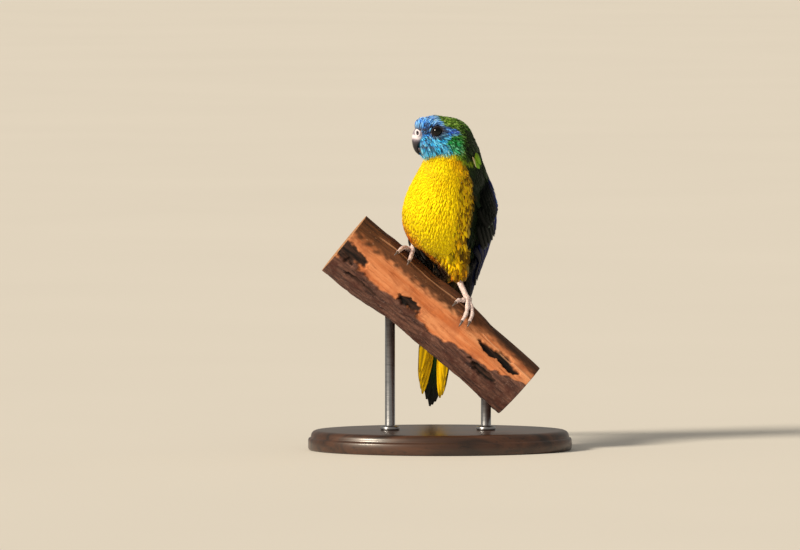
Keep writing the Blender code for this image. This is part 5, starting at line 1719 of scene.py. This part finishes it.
def make_stand():
    """The base with a stepped, rounded edge, and each rod with a collar where it enters the base."""
    length, depth, thick = 66.0, 46.0, 10.0
    profile = [(1.2, 0.0), (0.3, 0.4), (0.0, 1.2), (0.0, 5.2), (0.35, 6.0), (1.1, 6.3), (1.3, 6.6),
               (1.35, 7.2), (1.7, 8.4), (2.6, 9.4), (3.8, 9.9), (5.2, thick)]
    rings = level_rings(0.0, [(length - inset, depth - inset, height) for inset, height in profile], 128)
    finish_piece(mesh_object("oval_base", *loft(rings), LACQUER), "base_wood", "stand_base")
    for name, x in (("left", -25.0), ("right", 23.0)):
        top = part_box("stand_rod_" + name)[1][2] / MM + 0.3
        outline = [(2.5, 10.0), (4.6, 10.05), (4.8, 10.4), (4.8, 11.4), (4.4, 11.9), (2.9, 12.1),
                   (2.5, 12.4), (2.5, top)]
        rings = level_rings(x, [(radius, radius, height) for radius, height in outline], 40)
        finish_piece(mesh_object("steel_rod_" + name, *loft(rings), STEEL), "rod_steel", "stand_rod_" + name)


EYE, BILL, WOOD, CLAW = eye_material(), bill_material(), wood_material(), claw_material()
LACQUER, STEEL = lacquer_material(), steel_material()
for side_name in SIDES:
    make_eye(side_name)
    make_foot(side_name)
make_bill()
make_branch()
make_stand()


# Floor, light and camera, at the photograph's angle
CAMERA_TARGET = np.array([-20.0, 0.0, 87.6])
CAMERA_FAR, PICTURE_WIDTH = 5000.0, 400.0
CAMERA_RISE = math.radians(3)
SUN_PLACE, SUN_AIM = np.array([-1000.0, -760.0, 760.0]), np.array([0.0, 0.0, 100.0])


def make_floor():
    material, tree, shader = new_material("matt_paper_backdrop", 0.9, Specular_IOR_Level=0.2)
    place = add(tree, "ShaderNodeTexCoord").outputs["Object"]
    noise = add(tree, "ShaderNodeTexNoise", {"Vector": place, "Scale": 3.0, "Detail": 2.0}).outputs[0]
    colour = add(tree, "ShaderNodeMix", {"Factor": noise, "A": "#E2DFD9", "B": "#E7E4DE"}, data_type="RGBA")
    dress(tree, shader, colour.outputs["Result"])
    size = 80000.0
    points = [(-size, -size, 0), (size, -size, 0), (size, size, 0), (-size, size, 0)]
    floor = mesh_object("floor", points, [(0, 1, 2, 3)], material)


def make_light_and_camera():
    """A pale world, one soft sun high on the viewer's left, and a camera far off with a long lens."""
    world = bpy.data.worlds.new("studio")
    world.use_nodes = True
    back = world.node_tree.nodes["Background"]
    back.inputs["Color"].default_value = (*linear("#F2EBDF"), 1.0)
    back.inputs["Strength"].default_value = 0.38
    bpy.context.scene.world = world
    sun = bpy.data.lights.new("key_light", "SUN")
    sun.energy, sun.color, sun.angle = 4.4, linear("#FFF0D8"), math.radians(14.0)
    key_light = bpy.data.objects.new("key_light", sun)
    key_light.location = SUN_PLACE * MM
    away = Vector(SUN_AIM * MM) - key_light.location
    key_light.rotation_euler = away.to_track_quat("-Z", "Y").to_euler()
    bpy.context.scene.collection.objects.link(key_light)
    lens = bpy.data.cameras.new("camera")
    lens.lens = lens.sensor_width * CAMERA_FAR / PICTURE_WIDTH
    lens.clip_start, lens.clip_end = 0.1, 100.0
    camera = bpy.data.objects.new("camera", lens)
    back_off = np.array([0, -math.cos(CAMERA_RISE), math.sin(CAMERA_RISE)]) * CAMERA_FAR
    camera.location = (CAMERA_TARGET + back_off) * MM
    camera.rotation_euler = (math.pi / 2 - CAMERA_RISE, 0, 0)
    bpy.context.scene.collection.objects.link(camera)
    bpy.context.scene.camera = camera
    bpy.context.scene.view_settings.view_transform = "Standard"


make_floor()
make_light_and_camera()
